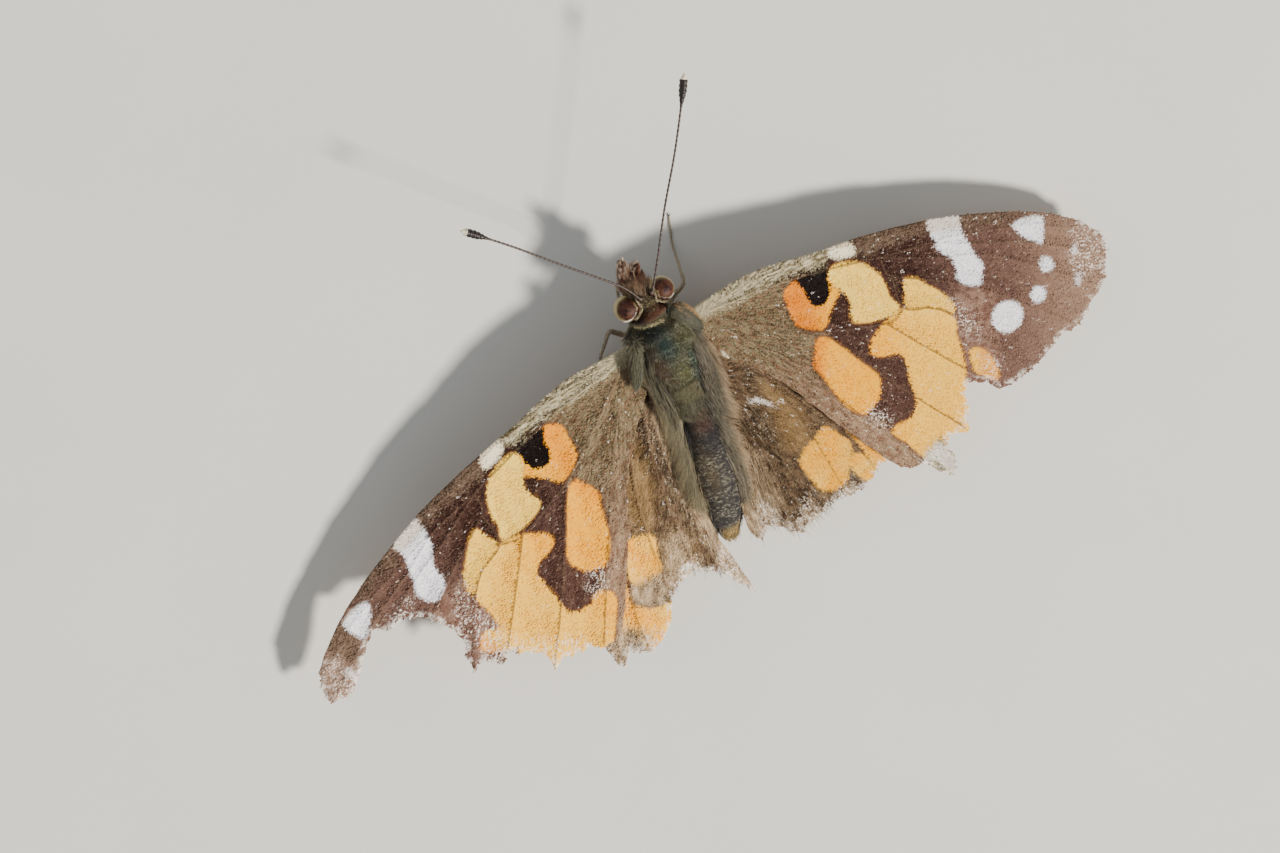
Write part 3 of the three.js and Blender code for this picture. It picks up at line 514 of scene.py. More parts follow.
# The same for the hindwings: [distance out from the middle of the body, distance behind the fore hinge]
HIND_MARKS = {
    "orange": [
        [[8.8, 12.6], [9.2, 10], [10.4, 8], [12.4, 7.6], [14.8, 9.4], [15.8, 11.8], [14.6, 13.8],
         [12.8, 15.6], [10.8, 17.2], [9.6, 17.6], [9.3, 15]],
    ],
    "black": [
        ((11.3, 14.9), (0.55, 0.6)), ((12.7, 13.2), (0.6, 0.6)), ((13.9, 11.5), (0.55, 0.55)),
        ((14.6, 9.8), (0.45, 0.5)),
    ],
}
HIND_OWN_MARKS = {
    -1: {
        "white": [
            ((5.1, 15.8), (0.5, 0.2)),
        ],
        "orange": [
            [[6.2, 12.7], [7.2, 12.1], [8.1, 12.1], [8.5, 13.2], [8.95, 14.3], [8.8, 15.2], [7.8, 15.4],
             [6.7, 15.1], [6.5, 14]],
            [[7, 17.6], [8.2, 17.3], [9.2, 16.6], [9.9, 15.9], [10.6, 17], [11, 17.9], [10.2, 18.1],
             [10, 19.2], [9.6, 20.4], [8.4, 19.6], [7.4, 18.6]],
        ],
        "golden": [
            [[4.2, 5.6], [5.4, 7.4], [6.8, 9.4], [7.1, 11.2], [6.3, 12.4], [5.2, 10.6], [4.4, 8.4]],
            [[4.1, 14.4], [4.8, 12.9], [6, 13.8], [6.4, 15.8], [5.4, 16.6], [4.4, 16]],
        ],
        "pale": [
            # The first pale field is the wing's own paler inner field, and partly painted light: it reaches
            # over the fold's edge and forward to the root to lift the shade in the fold
            [[1, 4.6], [2.8, 4.8], [3.2, 7.5], [3.2, 10.6], [3.1, 13.4], [3, 16.2], [2.4, 18.8], [1, 21],
             [0.8, 19], [1.6, 15.6], [1.6, 11], [1.2, 7.5]],
            [[6.5, 15.3], [8.8, 15.1], [9.4, 15.8], [8.9, 16.8], [7.6, 17.2], [6.6, 16.6]],
            [[4.2, 13.4], [5.5, 13.2], [6.2, 15.2], [5.8, 16.4], [4.6, 16.4]],
            [[9.4, 18.4], [10.2, 17.7], [11.4, 17.3], [12.6, 17.2], [13.2, 17.8], [13, 18.8], [12.2, 19.8],
             [11, 20.4], [9.9, 20.8], [9.3, 19.6]],
        ],
        "black": [
            [[3.1, 3.6], [4.4, 4], [4.9, 5.8], [4.2, 6.2], [3.7, 8.6], [3.7, 11.6], [3.3, 13.4], [3.1, 10],
             [3, 6.5]],
            ((10.6, 18.7), (0.55, 0.5)),
        ],
        "worn": [
            ((9.2, 19.4), (0.9, 0.6)), ((5, 15.9), (0.9, 0.4)), ((2.2, 17.6), (0.8, 1.4)),
        ],
    },
    1: {
        "white": [
            [[3.2, 7.68], [3.7, 7.62], [4.3, 7.7], [4.75, 8.4], [5.1, 8.62], [4.9, 8.78], [4.4, 8.3],
             [3.8, 7.85]],
            ((5.52, 8.85), (0.16, 0.1)),
        ],
        "orange": [
            [[4.9, 13.5], [5.3, 12.9], [6.2, 12.6], [7.2, 12.2], [7.8, 12.3], [8.3, 13.2], [8.75, 14.1],
             [8.4, 15], [7.9, 15.7], [7.2, 16.4], [6.1, 16.3], [5.4, 15.8], [5.2, 15.2], [5.05, 14.3]],
            [[8.1, 15.1], [9.2, 15.2], [9.9, 16.4], [8.9, 17.3], [8.2, 16.3]],
        ],
        "golden": [
            [[4.8, 6.8], [5.8, 8.2], [6.6, 10.4], [6.3, 12.3], [5.2, 12.6], [4.4, 11.4], [4.6, 9.2]],
        ],
        "pale": [
            [[0.9, 10], [2.2, 10.2], [2.8, 11.2], [2.9, 12.8], [2.8, 15.4], [1.2, 17.2], [-0.4, 16.6],
             [-0.4, 14], [0.6, 11]],
            [[1.4, 16.2], [2.4, 16.9], [3.4, 17], [4.2, 16.4], [4.5, 17.6], [3.2, 18.6], [1.6, 18]],
            [[6.6, 16.8], [7.2, 16.6], [7.7, 17.1], [7.5, 17.9], [6.6, 17.6]],
        ],
        "black": [
            [[4, 4.4], [4.6, 4.5], [5, 5.6], [4.6, 6.4], [4.2, 5.6]],
            [[3.1, 8.2], [3.7, 8.6], [4, 10.6], [3.6, 11], [3.1, 9.8]],
        ],
        "worn": [
            [[1.2, 14.6], [2.2, 15.6], [2.4, 17], [4.4, 15.6], [4.6, 17.2], [3.4, 18.4], [1.4, 17.6]],
            ((7.2, 17.1), (0.9, 0.7)),
        ],
    },
}

# Veins and outlines of the wings, as the solids have them
FORE_VEINS = [
    [[0.6, -0.5], [5, -1.9], [10, -2.75], [15.6, -3.25]],
    [[0.5, 0], [4, -0.8], [8, -1.4], [13, -1.75], [17, -2.2], [21.5, -2.4], [24.2, -2.3], [28.2, -1.6]],
    [[17, -2.2], [19.6, -1.7], [24, -1.2], [29.3, 0.2]],
    [[13, -1.75], [17.5, -1.1], [22, -0.5], [29, 2.4]],
    [[13.2, -1.6], [13.9, -0.4], [17.5, 0.5], [21, 1.7], [27.4, 4.9]],
    [[13.9, -0.4], [14.6, 1.9], [16.6, 2.2], [18.4, 3.1], [22, 6.3], [24.2, 8.2]],
    [[0.6, 0.5], [4, 1.5], [8.5, 2.6], [13.2, 2.75], [14.6, 1.9]],
    [[13.2, 2.75], [15.5, 4.4], [19, 6.8], [21.3, 8.4]],
    [[8.5, 2.6], [12.5, 6], [15.4, 8.3], [18.9, 10.9]],
    [[0.8, 0.9], [5, 3.8], [8.5, 6.6], [13.3, 10.6], [15.4, 12.4]],
]
FORE_COSTA = [[0.3, -0.75], [3.9, -2.1], [8.4, -2.75], [13, -3.45], [17, -3.7], [21.5, -3.55], [25.4, -3]]
FORE_INNER = [[14.2, 12.9], [12.2, 11.5], [9.1, 8.9], [4.8, 5.2]]
FORE_MARGIN = {
    -1: [[27.4, -2.4], [29, -1.8], [29.7, -0.7], [30, 0.4], [28.7, 1], [27.4, 0.5], [25.8, -0.3],
        [24.3, -0.9], [23.5, 0], [22.6, 0.1], [21.6, 1.1], [21.3, 2.4], [21, 3.6], [21.3, 4.9], [22.3, 6.6],
        [21.2, 6.5], [20.9, 7.9], [20, 7.5], [19.2, 8.4], [18.4, 10], [19, 11], [17.9, 10.8], [16.4, 11.9],
        [15.5, 12.6]],
    1: [[28.4, -2], [29.6, -1], [30, 0.2], [29.7, 2], [28.7, 3.6], [27.7, 5], [26, 5.7], [24.7, 7.1],
        [22.6, 8.2], [21.5, 8.6], [20.6, 7.9], [19.2, 7.8], [18.8, 8.6], [19.2, 9.7], [19.1, 11], [17.4, 11.2],
        [17.6, 12.2], [18.3, 13.2], [17.6, 14.1], [16.3, 13.2], [15.4, 12.8]],
}
HIND_VEINS = [
    [[3.5, 3.2], [6.5, 3], [12, 5.2], [16.9, 9.4]],
    [[3.5, 3.5], [6, 4.3], [10, 6.4], [14, 9.6], [16.4, 12.4]],
    [[6, 4.3], [8.3, 6.4], [12.4, 10.6], [14.9, 14.4]],
    [[8.3, 6.4], [8.2, 7.6], [11.6, 12.2], [13.2, 16.4]],
    [[8.2, 7.6], [7.5, 8.7], [10.2, 13.4], [11.8, 19.2]],
    [[3.4, 4], [5.2, 6.3], [6.8, 8.6], [7.5, 8.7]],
    [[6.8, 8.6], [8.7, 13.6], [9.6, 17], [9.75, 19.6]],
    [[5.2, 6.3], [6.3, 10.6], [6.9, 16.2]],
    [[3.2, 4.4], [4.3, 9.6], [4.7, 15.2]],
    [[2.9, 5], [3.2, 9.6], [2.8, 15]],
]
HIND_COSTA = [[4.2, 2.4], [8, 2.9], [12, 4.2], [15, 6.4], [17.3, 9.4]]
HIND_MARGIN = {
    -1: [[17.6, 11.2], [16.9, 13.2], [15.2, 15.4], [13.2, 16.9], [12.4, 18.2], [12, 19.9], [11, 19.2],
        [9.8, 20], [8.9, 19.7], [7.7, 18.9], [7, 17.4], [6.2, 16.5], [5, 16.2], [3.6, 17], [2.4, 18.6],
        [1.3, 20.3]],
    1: [[17.6, 11.2], [16.9, 13], [15, 15], [12.6, 16.3], [9.9, 16.7], [8.4, 17.5], [7, 17.4], [5.7, 17.1],
        [4.4, 17.5], [3.1, 18.2], [2.2, 17.4], [1.4, 16.6], [0.6, 17.4]],
}
HIND_INNER = {
    -1: [[1.95, 16.2], [2.1, 13.8], [2, 11.8], [1.65, 8.5], [1.5, 6.4]],
    1: [[0.05, 16], [0.45, 13.4], [0.85, 11], [1.2, 8.5], [1.45, 6.4]],
}


# Wings

def marks_of(shared, own):
    """The marks of one wing: those that both wings of a pair have, and its own."""
    return {key: shared.get(key, []) + own.get(key, []) for key in {**shared, **own}}


def fore_place(side):
    """Places of forewing points: out along the leading edge, back from it, and up from the sheet's middle."""
    def place(plan, lift):
        out, back = plan.T
        across = out * math.cos(FORE_SWEEP) - back * math.sin(FORE_SWEEP)
        rear = out * math.sin(FORE_SWEEP) + back * math.cos(FORE_SWEEP)
        bulge = np.sin(math.pi * np.clip(back + 3.7, 0, 15) / 15)
        rise = lift + FORE_CAMBER * bulge * smoothstep(1, 9, out)
        x = side * (FORE_HINGE_X + across * math.cos(WING_DROOP) + rise * math.sin(WING_DROOP))
        return np.stack([x, -rear, -across * math.sin(WING_DROOP) + rise * math.cos(WING_DROOP)], axis=1)
    return place


def fore_plan(x, y):
    """Where a place on the body lies in the forewing's own directions."""
    across = (x - FORE_HINGE_X) / math.cos(WING_DROOP)
    return [across * math.cos(FORE_SWEEP) - y * math.sin(FORE_SWEEP),
            -across * math.sin(FORE_SWEEP) - y * math.cos(FORE_SWEEP)]


# Front and rear end of each wing's root, in the wing's own directions
FORE_ROOT = [fore_plan(1.5, 0.45), fore_plan(1.5, -1.7)]
HIND_ROOT = [[1.6, 2.9], [1.2, 5.3]]


def hind_place(side):
    """Places of hindwing points: the inner field folds down beside the abdomen."""
    drop = HIND_BELOW_FORE - FORE_HINGE_X * math.tan(WING_DROOP)

    def place(plan, lift):
        out, back = plan.T
        fold = HIND_FOLD_DEPTH * (1 - smoothstep(1.4, 4.6, out)) * smoothstep(4.5, 11, back)
        rise = lift - drop - fold
        x = side * (out * math.cos(WING_DROOP) + lift * math.sin(WING_DROOP))
        return np.stack([x, -back, -out * math.sin(WING_DROOP) + rise * math.cos(WING_DROOP)], axis=1)
    return place


def ragged(line, amount, rng):
    """A margin with the small tears of wear: shifted across itself by smoothed noise, none at its ends."""
    count = len(line)
    window = np.hanning(7)
    noise = np.convolve(rng.normal(size=count + 6), window / window.sum() ** 0.5, "valid")
    ends = np.minimum(np.arange(count), np.arange(count)[::-1]) / 5
    return line + crosswise(line) * (noise * amount * np.clip(ends, 0, 1))[:, None]


class Wing:
    """One wing's sheet: its outline, its veins, its relief and the marks on it."""

    def __init__(self, slot, place, root, costa, margin, inner, veins, marks, lift, shade, seed):
        rng = np.random.default_rng(seed)
        front, rear = root
        leading = spline([front, *costa, margin[0]], SHEET_STEP)
        self.margin = ragged(even_steps(np.array(margin), MARGIN_STEP), MARGIN_TEAR, rng)
        trailing = ragged(spline([margin[-1], *inner, rear], SHEET_STEP), INNER_TEAR, rng)
        base = even_steps(np.array([rear, front]), SHEET_STEP)
        self.outline = np.vstack([leading[:-1], self.margin[:-1], trailing[:-1], base[:-1]])
        self.low = self.outline.min(0)
        self.high = self.outline.max(0)
        self.slot = slot
        self.place = place
        self.root = np.array(root).mean(0)
        self.veins = [spline(vein, SHEET_STEP) for vein in veins]
        self.marks = marks
        self.lift = lift
        self.shade = shade
        self.phases = rng.uniform(0, 6.28, 5)

    def vein_gap(self, plan):
        """Distance to the nearest vein, and the place along it."""
        gap = np.full(len(plan), np.inf)
        along = np.zeros(len(plan))
        for line in self.veins:
            near, place, _ = line_distance(plan, line)
            along = np.where(near < gap, place, along)
            gap = np.minimum(gap, near)
        return gap, along

    def relief(self, plan):
        """Height of the vein ridges, and of the sheet's middle with its pleats and slow waves."""
        gap, along = self.vein_gap(plan)
        ridge = RIDGE_HEIGHT * (1 - 0.55 * along) * np.exp(-((gap / RIDGE_WIDTH) ** 2))
        pleat = PLEAT_DEPTH * smoothstep(0.05, 1.1, gap) * smoothstep(0, 3, np.hypot(*plan.T))
        a, b, c, d, e = self.phases
        x, y = plan.T
        wave = 0.05 * np.sin(0.9 * x + a) * np.sin(0.8 * y + b) + 0.03 * np.sin(2.1 * x + 0.7 * y + c)
        wave += 0.015 * np.sin(4.3 * x - 2.2 * y + d) + 0.012 * np.sin(3.1 * x + 5.2 * y + e)
        return ridge, self.lift - pleat + wave

    def plan_points(self):
        """Points that fill the sheet: a grid between the veins, and rows along them."""
        grid = []
        for index, row in enumerate(np.arange(self.low[1], self.high[1], SHEET_STEP * math.sqrt(3) / 2)):
            x = np.arange(self.low[0] + SHEET_STEP / 2 * (index % 2), self.high[0], SHEET_STEP)
            grid.append(np.stack([x, np.full(len(x), row)], 1))
        grid = np.vstack(grid)
        grid = grid[self.vein_gap(grid)[0] > CLEAR_OF_VEINS]
        rows = [line + shift * crosswise(line) for line in self.veins for shift in RIDGE_ROWS]
        fill = np.vstack([grid, *rows])
        return fill[inside_depth(fill, self.outline) > 0.1]

    def layers(self, plan):
        x, y = plan.T
        turn = np.arctan2(y, x)
        found = {key: depth_in_marks(plan, marks) for key, marks in self.marks.items()}
        found["vein"] = self.vein_gap(plan)[0]
        found["rim"] = line_distance(plan, self.margin)[0]
        # Painted shade: the factor that darkens the right wings
        found["shade"] = np.full(len(plan), self.shade)
        found["plan"] = np.stack([x, y, np.full(len(plan), self.phases[0])], axis=1)
        found["fan"] = np.stack([turn * 8, np.hypot(x, y), np.full(len(plan), self.phases[1])], axis=1)
        return found

    def surface(self, plan):
        """Places on the upper face with the direction away from the root and the upward normal there."""
        step = 0.05
        ridge, middle = self.relief(plan)
        height = middle + SHEET_HALF + ridge
        heading = unit(plan - self.root)
        here = self.place(plan, height)
        outward = unit(self.place(plan + step * heading, height) - here)
        across = self.place(plan + step * heading[:, ::-1] * [1, -1], height) - here
        normal = unit(np.cross(outward, across))
        return here, outward, normal * np.sign(normal[:, 2:])

    def strew(self, rng, count, share):
        """Plan points strewn over the sheet, a share of them kept at each place."""
        plan = rng.uniform(self.low, self.high, (count, 2))
        plan = plan[rng.uniform(0, 1, count) < share(plan)]
        return plan[inside_depth(plan, self.outline) > 0.02]

    def scales(self, rng, name, materials, share):
        """Overlapping scales over the upper face, each a thin closed vane with its tip raised."""
        plan = self.strew(rng, int(np.prod(self.high - self.low) / SCALE_SPACING**2), share)
        layers = self.layers(plan)
        bare = 0.12 + 0.3 * smoothstep(0.5, 0.1, layers["rim"]) + 0.3 * smoothstep(-0.3, 0.3, layers["worn"])
        kept = rng.uniform(0, 1, len(plan)) > bare
        plan = plan[kept]
        roots, outward, normal = self.surface(plan)
        count = len(plan)
        forward = unit(outward + rng.normal(0, 0.12, (count, 3)))
        side = np.cross(forward, normal)
        length = rng.uniform(0.75, 1.25, (count, 1)) * SCALE_LENGTH
        half = rng.uniform(0.75, 1.25, (count, 1)) * SCALE_WIDTH / 2
        way = length * (forward + rng.uniform(0.03, 0.16, (count, 1)) * normal)
        swell = 0.02 * normal
        shoulder = roots + 0.75 * way
        corners = np.stack([roots - swell, shoulder + half * side, shoulder - half * side, roots + way,
                            roots + 0.5 * way + swell], axis=1)
        faces = np.array([[0, 1, 4], [1, 3, 4], [3, 2, 4], [2, 0, 4], [0, 3, 1], [0, 2, 3]])
        triangles = (np.arange(count)[:, None, None] * 5 + faces).reshape(-1, 3)
        layers = {key: np.repeat(value[kept], 5, axis=0) for key, value in layers.items()}
        spread = np.array([[-0.5, 0], [0.2, -0.5], [0.2, 0.5], [0.5, 0], [0, 0]])
        uv = bake_patches((plan - self.low) / (self.high - self.low), spread)
        make_piece(name, self.slot, corners.reshape(-1, 3), triangles, materials, layers, uv, smooth=False)

    def hair(self, rng, name, materials, plan, length, width, lift, comb=(0, 0, 0)):
        """Hairs on the upper face, coloured like the sheet they grow on."""
        roots, outward, normal = self.surface(plan)
        count = len(plan)
        rise = rng.uniform(0.4, 1.0, (count, 1)) * lift
        forward = unit(outward + comb + rise * normal + rng.normal(0, 0.1, (count, 3)))
        points, triangles, per_hair, tip_place = hairs(
            roots, forward, normal, rng.uniform(*length, count), rng.uniform(*width, count),
            bend=-0.6 * rise * normal, rings=3, sink=0.04)
        layers = {key: np.repeat(value, per_hair, axis=0) for key, value in self.layers(plan).items()}
        uv = hair_patches((plan - self.low) / (self.high - self.low), per_hair, tip_place)
        make_piece(name, self.slot, points, triangles, materials, layers, uv)

    def build(self, name, materials, replaced):
        """The sheet itself: its upper and under face and the wall between them."""
        seeds = [Vector(point) for point in np.vstack([self.outline, self.plan_points()])]
        plan, _, faces, *_ = delaunay_2d_cdt(seeds, [], [list(range(len(self.outline)))], 1, 1e-5)
        plan = np.array([tuple(point) for point in plan])
        faces = np.array([face for face in faces if len(face) == 3])
        ridge, middle = self.relief(plan)
        count = len(plan)
        points = np.vstack([self.place(plan, middle + SHEET_HALF + ridge),
                            self.place(plan, middle - SHEET_HALF - 0.7 * ridge)])
        edges = {}
        for a, b, c in faces:
            for edge in ((a, b), (b, c), (c, a)):
                if edges.pop(edge[::-1], None) is None:
                    edges[edge] = True
        start, end = np.array(list(edges)).T
        walls = np.vstack([np.stack([end, start, start + count], 1),
                           np.stack([end, start + count, end + count], 1)])
        triangles = np.vstack([faces, faces[:, ::-1] + count, walls])
        a, b, c = points[faces].transpose(1, 0, 2)
        if np.cross(b - a, c - a)[:, 2].sum() < 0:
            triangles = triangles[:, ::-1]
        layers = {key: np.concatenate([value, value]) for key, value in self.layers(plan).items()}
        under = np.repeat([0, 1, 0], [len(faces), len(faces), len(walls)])
        make_piece(name, self.slot, points, triangles, materials, layers, material_index=under,
                   replaced=[replaced])


class WingFinish(Finish):
    """A wing's finish, with the noise and the masks that all of them share."""

    def __init__(self, name, roughness, sheen, specular):
        super().__init__(name, roughness, sheen, specular)
        self.plan = self.layer("plan", "Vector")
        fan = self.layer("fan", "Vector")
        self.x, self.y = (self.node("ShaderNodeSeparateXYZ", {0: self.plan}, axis) for axis in (0, 1))
        self.grain = self.noise(self.plan, 7.0)
        self.fine = self.noise(self.plan, 17.0, 1.0)
        self.slow = self.noise(self.plan, 0.55)
        self.hue = self.noise(self.stretch(self.plan, (1.0, 1.0, 1.7)), 5.0, 3.0, 0.7)
        self.patchy = self.noise(self.plan, 2.2, 3.0, 0.6)
        self.streak = self.noise(self.stretch(fan, (2.2, 0.5, 1.0)), 2.6, 3.0, 0.6)

    def jagged(self, amount):
        """The unevenness of a mark's edge, at the size of the scales."""
        return self.plus(self.swing(self.grain, amount), self.swing(self.fine, amount))

    def mask(self, layer, jag, soft=0.07):
        """1 inside a mark, 0 outside it, with an edge made uneven by the wing's scales."""
        return self.ramp(self.plus(self.layer(layer), jag), -soft, soft)

    def streaked(self, first, second, low=0.35, high=0.65):
        """Two colours in streaks that fan out from the root."""
        return self.blend(self.streak, low, high, first, second)

    def vein(self, low, high, most):
        """Most on the veins, 0 away from them."""
        return self.ramp(self.layer("vein"), low, high, most, 0.0)

    def face(self, colour):
        """The finish of one face, with rows of scales as relief, finer than the mesh."""
        rows = self.cells(self.stretch(self.plan, (6.5, 9.5, 1.0)), 1.0)
        return self.finish(colour, self.plus(rows, self.times(self.fine, 0.6)), strength=0.35, distance=0.04)

    def upper_face(self, colour, jag):
        """Bare, dusty spots in the worn places and along the margin, pale specks strewn about as painted glints
        off single scales, and the painted shade that darkens the right wings.
        """
        dust_and_glint = (244, 232, 220)
        spots = self.times(self.ramp(self.grain, 0.52, 0.62), 0.75)
        rim = self.ramp(self.layer("rim"), 0.1, 0.5, 0.8, 0.0)
        colour = self.layered(
            colour,
            (self.times(self.mask("worn", jag, 0.5), spots), dust_and_glint),
            (self.times(rim, self.ramp(self.patchy, 0.45, 0.6)), dust_and_glint),
            # Painted glints: pale specks strewn about, as light caught by single scales
            (self.ramp(self.noise(self.plan, 5.3, 1.0), 0.71, 0.75, 0.0, 0.6), dust_and_glint))
        return self.face(self.dimmed(colour, self.layer("shade")))


def fore_upper_finish():
    f = WingFinish("forewing_upper", roughness=0.66, sheen=0.0, specular=0.06)
    jag = f.jagged(0.18)
    rough_jag = f.jagged(1.3)
    uneven = f.swing(f.patchy, 0.8)
    fade = f.plus(f.plus(f.times(f.ramp(f.x, 14.5, 20.5), 0.75), f.ramp(f.y, 1.0, 3.5, 0.0, 0.25)), uneven)
    pale_apex = f.plus(f.ramp(f.x, 21.0, 29.5, 0, 0.9), f.times(uneven, 0.5))
    rusty = f.times(f.ramp(f.y, 4.0, 8.0, 0.0, 0.15), f.ramp(f.x, 13.0, 18.0, 1.0, 0.0))
    rubbed = f.times(f.ramp(f.x, 17.2, 19.4), f.ramp(f.y, 0.6, 2.2, 0.0, 0.7))
    rubbed = f.times(rubbed, f.ramp(f.x, 22.5, 20.5))
    specks = f.ramp(f.plus(f.grain, f.times(f.fine, 0.4)), 0.78, 0.9)
    ground = f.layered(
        f.mix(fade, (52, 31, 25), (104, 76, 66)),
        (pale_apex, (150, 120, 100)),
        (rusty, (88, 56, 42)),
        (rubbed, f.blend(f.patchy, 0.4, 0.6, (112, 78, 64), (152, 120, 102))),
        (f.times(specks, 0.4), (150, 120, 98)))
    olive = f.layered(
        f.streaked((80, 66, 46), (138, 121, 92)),
        (f.ramp(f.y, 3.0, 7.0), f.streaked((96, 74, 56), (150, 124, 98))),
        (f.ramp(f.x, 7.5, 10.5), f.streaked((126, 96, 76), (172, 142, 114))),
        (f.ramp(f.hue, 0.5, 0.62, 0, 0.55), (128, 84, 58)),
        (f.ramp(f.hue, 0.46, 0.36, 0, 0.4), (128, 122, 88)),
        (f.ramp(f.fine, 0.52, 0.7, 0, 0.65), (54, 42, 32)))
    orange = f.layered(
        f.blend(f.layer("shade"), 0.92, 0.98, (226, 122, 0), (242, 150, 0)),
        (f.ramp(f.x, 7.4, 9.4), (252, 174, 20)),
        (f.ramp(f.x, 12.0, 16.0), (252, 194, 68)),
        (f.times(f.ramp(f.x, 12.5, 14.5), f.ramp(f.y, 4.0, 1.4, 0, 0.8)), (252, 206, 84)),
        (f.ramp(f.x, 19.6, 20.4), (228, 158, 74)),
        (f.ramp(f.slow, 0.4, 0.7, 0, 0.25), (252, 184, 60)),
        (f.ramp(f.fine, 0.45, 0.8, 0, 0.25), (224, 140, 24)))
    white = f.layered(
        f.blend(f.grain, 0.4, 0.8, (248, 246, 250), (214, 206, 206), 0.6),
        (f.ramp(f.x, 15.0, 13.0), (240, 226, 196)),
        (f.ramp(f.y, 9.0, 11.0), (206, 196, 182)),
        (f.ramp(f.y, -2.5, -3.1, 0.0, 0.6), (206, 184, 152)),
        (f.ramp(f.x, 26.3, 27.1, 0.0, 0.55), (168, 140, 120)))
    wide_jag = f.plus(jag, 0.1)
    near_mark = f.math("MAXIMUM", f.mask("orange", wide_jag, 0.12), f.mask("cream", wide_jag, 0.12))
    colour = f.layered(
        ground,
        (f.mask("basal", rough_jag, 0.25), olive),
        (f.times(near_mark, 0.8), (136, 84, 44)),
        (f.mask("orange", jag, 0.1), orange),
        (f.mask("cream", jag, 0.1), f.mix(f.slow, (252, 212, 94), (252, 202, 82))),
        (f.mask("black", jag), f.blend(f.fine, 0.55, 0.8, (18, 9, 8), (62, 40, 32), 0.35)),
        (f.mask("costal", rough_jag, 0.3), f.streaked((92, 80, 54), (200, 188, 154))),
        (f.times(f.mask("costa_dark", rough_jag, 0.3), 0.8),
         f.blend(f.grain, 0.35, 0.65, (74, 56, 44), (118, 98, 80))),
        (f.times(f.vein(0.03, 0.09, 1.0), f.ramp(near_mark, 0.0, 1.0, 0.28, 0.7)),
         f.mix(near_mark, (104, 84, 66), (104, 68, 40))),
        (f.mask("white", f.math("SUBTRACT", jag, 0.06), 0.14), white))
    return f.upper_face(colour, jag)


def hind_upper_finish():
    f = WingFinish("hindwing_upper", roughness=0.68, sheen=0.0, specular=0.06)
    jag = f.jagged(0.4)
    rough_jag = f.jagged(1.4)
    dark = f.mask("black", f.jagged(3.0), 0.35)
    pepper = f.ramp(f.noise(f.plan, 6.1), 0.42, 0.54, 0.9, 0.2)
    salt = f.ramp(f.noise(f.plan, 7.7), 0.57, 0.65, 0.0, 0.6)
    colour = f.layered(
        f.streaked((62, 50, 37), (128, 106, 80), 0.36, 0.62),
        (f.ramp(f.hue, 0.5, 0.62, 0, 0.5), (112, 78, 58)),
        (f.ramp(f.fine, 0.52, 0.72, 0, 0.6), (48, 36, 26)),
        (f.times(f.mask("golden", rough_jag, 0.6), 0.7), f.mix(f.streak, (116, 90, 56), (170, 136, 88))),
        (f.mask("orange", jag, 0.12), f.blend(f.slow, 0.35, 0.7, (252, 176, 36), (252, 196, 84))),
        # The pale field; on the left wing partly painted light over the shaded fold
        (f.times(f.mask("pale", rough_jag, 0.4), 0.8), f.streaked((128, 106, 80), (214, 186, 150), 0.3, 0.7)),
        (f.times(dark, pepper), (38, 30, 25)),
        (f.times(dark, salt), (204, 190, 166)),
        (f.vein(0.03, 0.09, 0.5), (92, 68, 50)),
        (f.times(f.mask("white", jag), 0.85), (244, 234, 222)))
    return f.upper_face(colour, jag)


def fore_under_finish():
    f = WingFinish("forewing_under", roughness=0.78, sheen=0.1, specular=0.2)
    jag = f.jagged(0.4)
    rosy = f.math("MAXIMUM", f.mask("basal", jag, 0.3), f.mask("orange", jag))
    return f.face(f.layered(
        f.blend(f.x, 17, 20, (70, 48, 40), (168, 142, 112)),
        (f.ramp(f.patchy, 0.4, 0.6, 0, 0.6), (196, 176, 146)),
        (rosy, f.mix(f.slow, (222, 128, 84), (226, 162, 124))),
        (f.mask("cream", jag), (226, 204, 170)),
        (f.mask("black", jag), (48, 32, 28)),
        (f.mask("costal", jag), (190, 172, 146)),
        (f.mask("white", jag), (226, 222, 214)),
        (f.vein(0.04, 0.15, 0.6), (206, 182, 150))))


def hind_under_finish():
    f = WingFinish("hindwing_under", roughness=0.78, sheen=0.1, specular=0.2)
    veined = {"Vector": f.plan, "Scale": 0.75, "Detail": 3.0, "Distortion": 1.2}
    marble = f.node("ShaderNodeTexNoise", veined)
    return f.face(f.layered(
        f.blend(marble, 0.45, 0.53, (120, 96, 66), (208, 190, 158)),
        (f.ramp(marble, 0.36, 0.42, 1.0, 0.0), (86, 66, 46)),
        (f.mask("black", f.jagged(0.4), 0.3), (196, 170, 108)),
        (f.ramp(f.layer("black"), 0.15, 0.28), (44, 46, 56)),
        (f.vein(0.05, 0.16, 0.85), (222, 208, 182))))


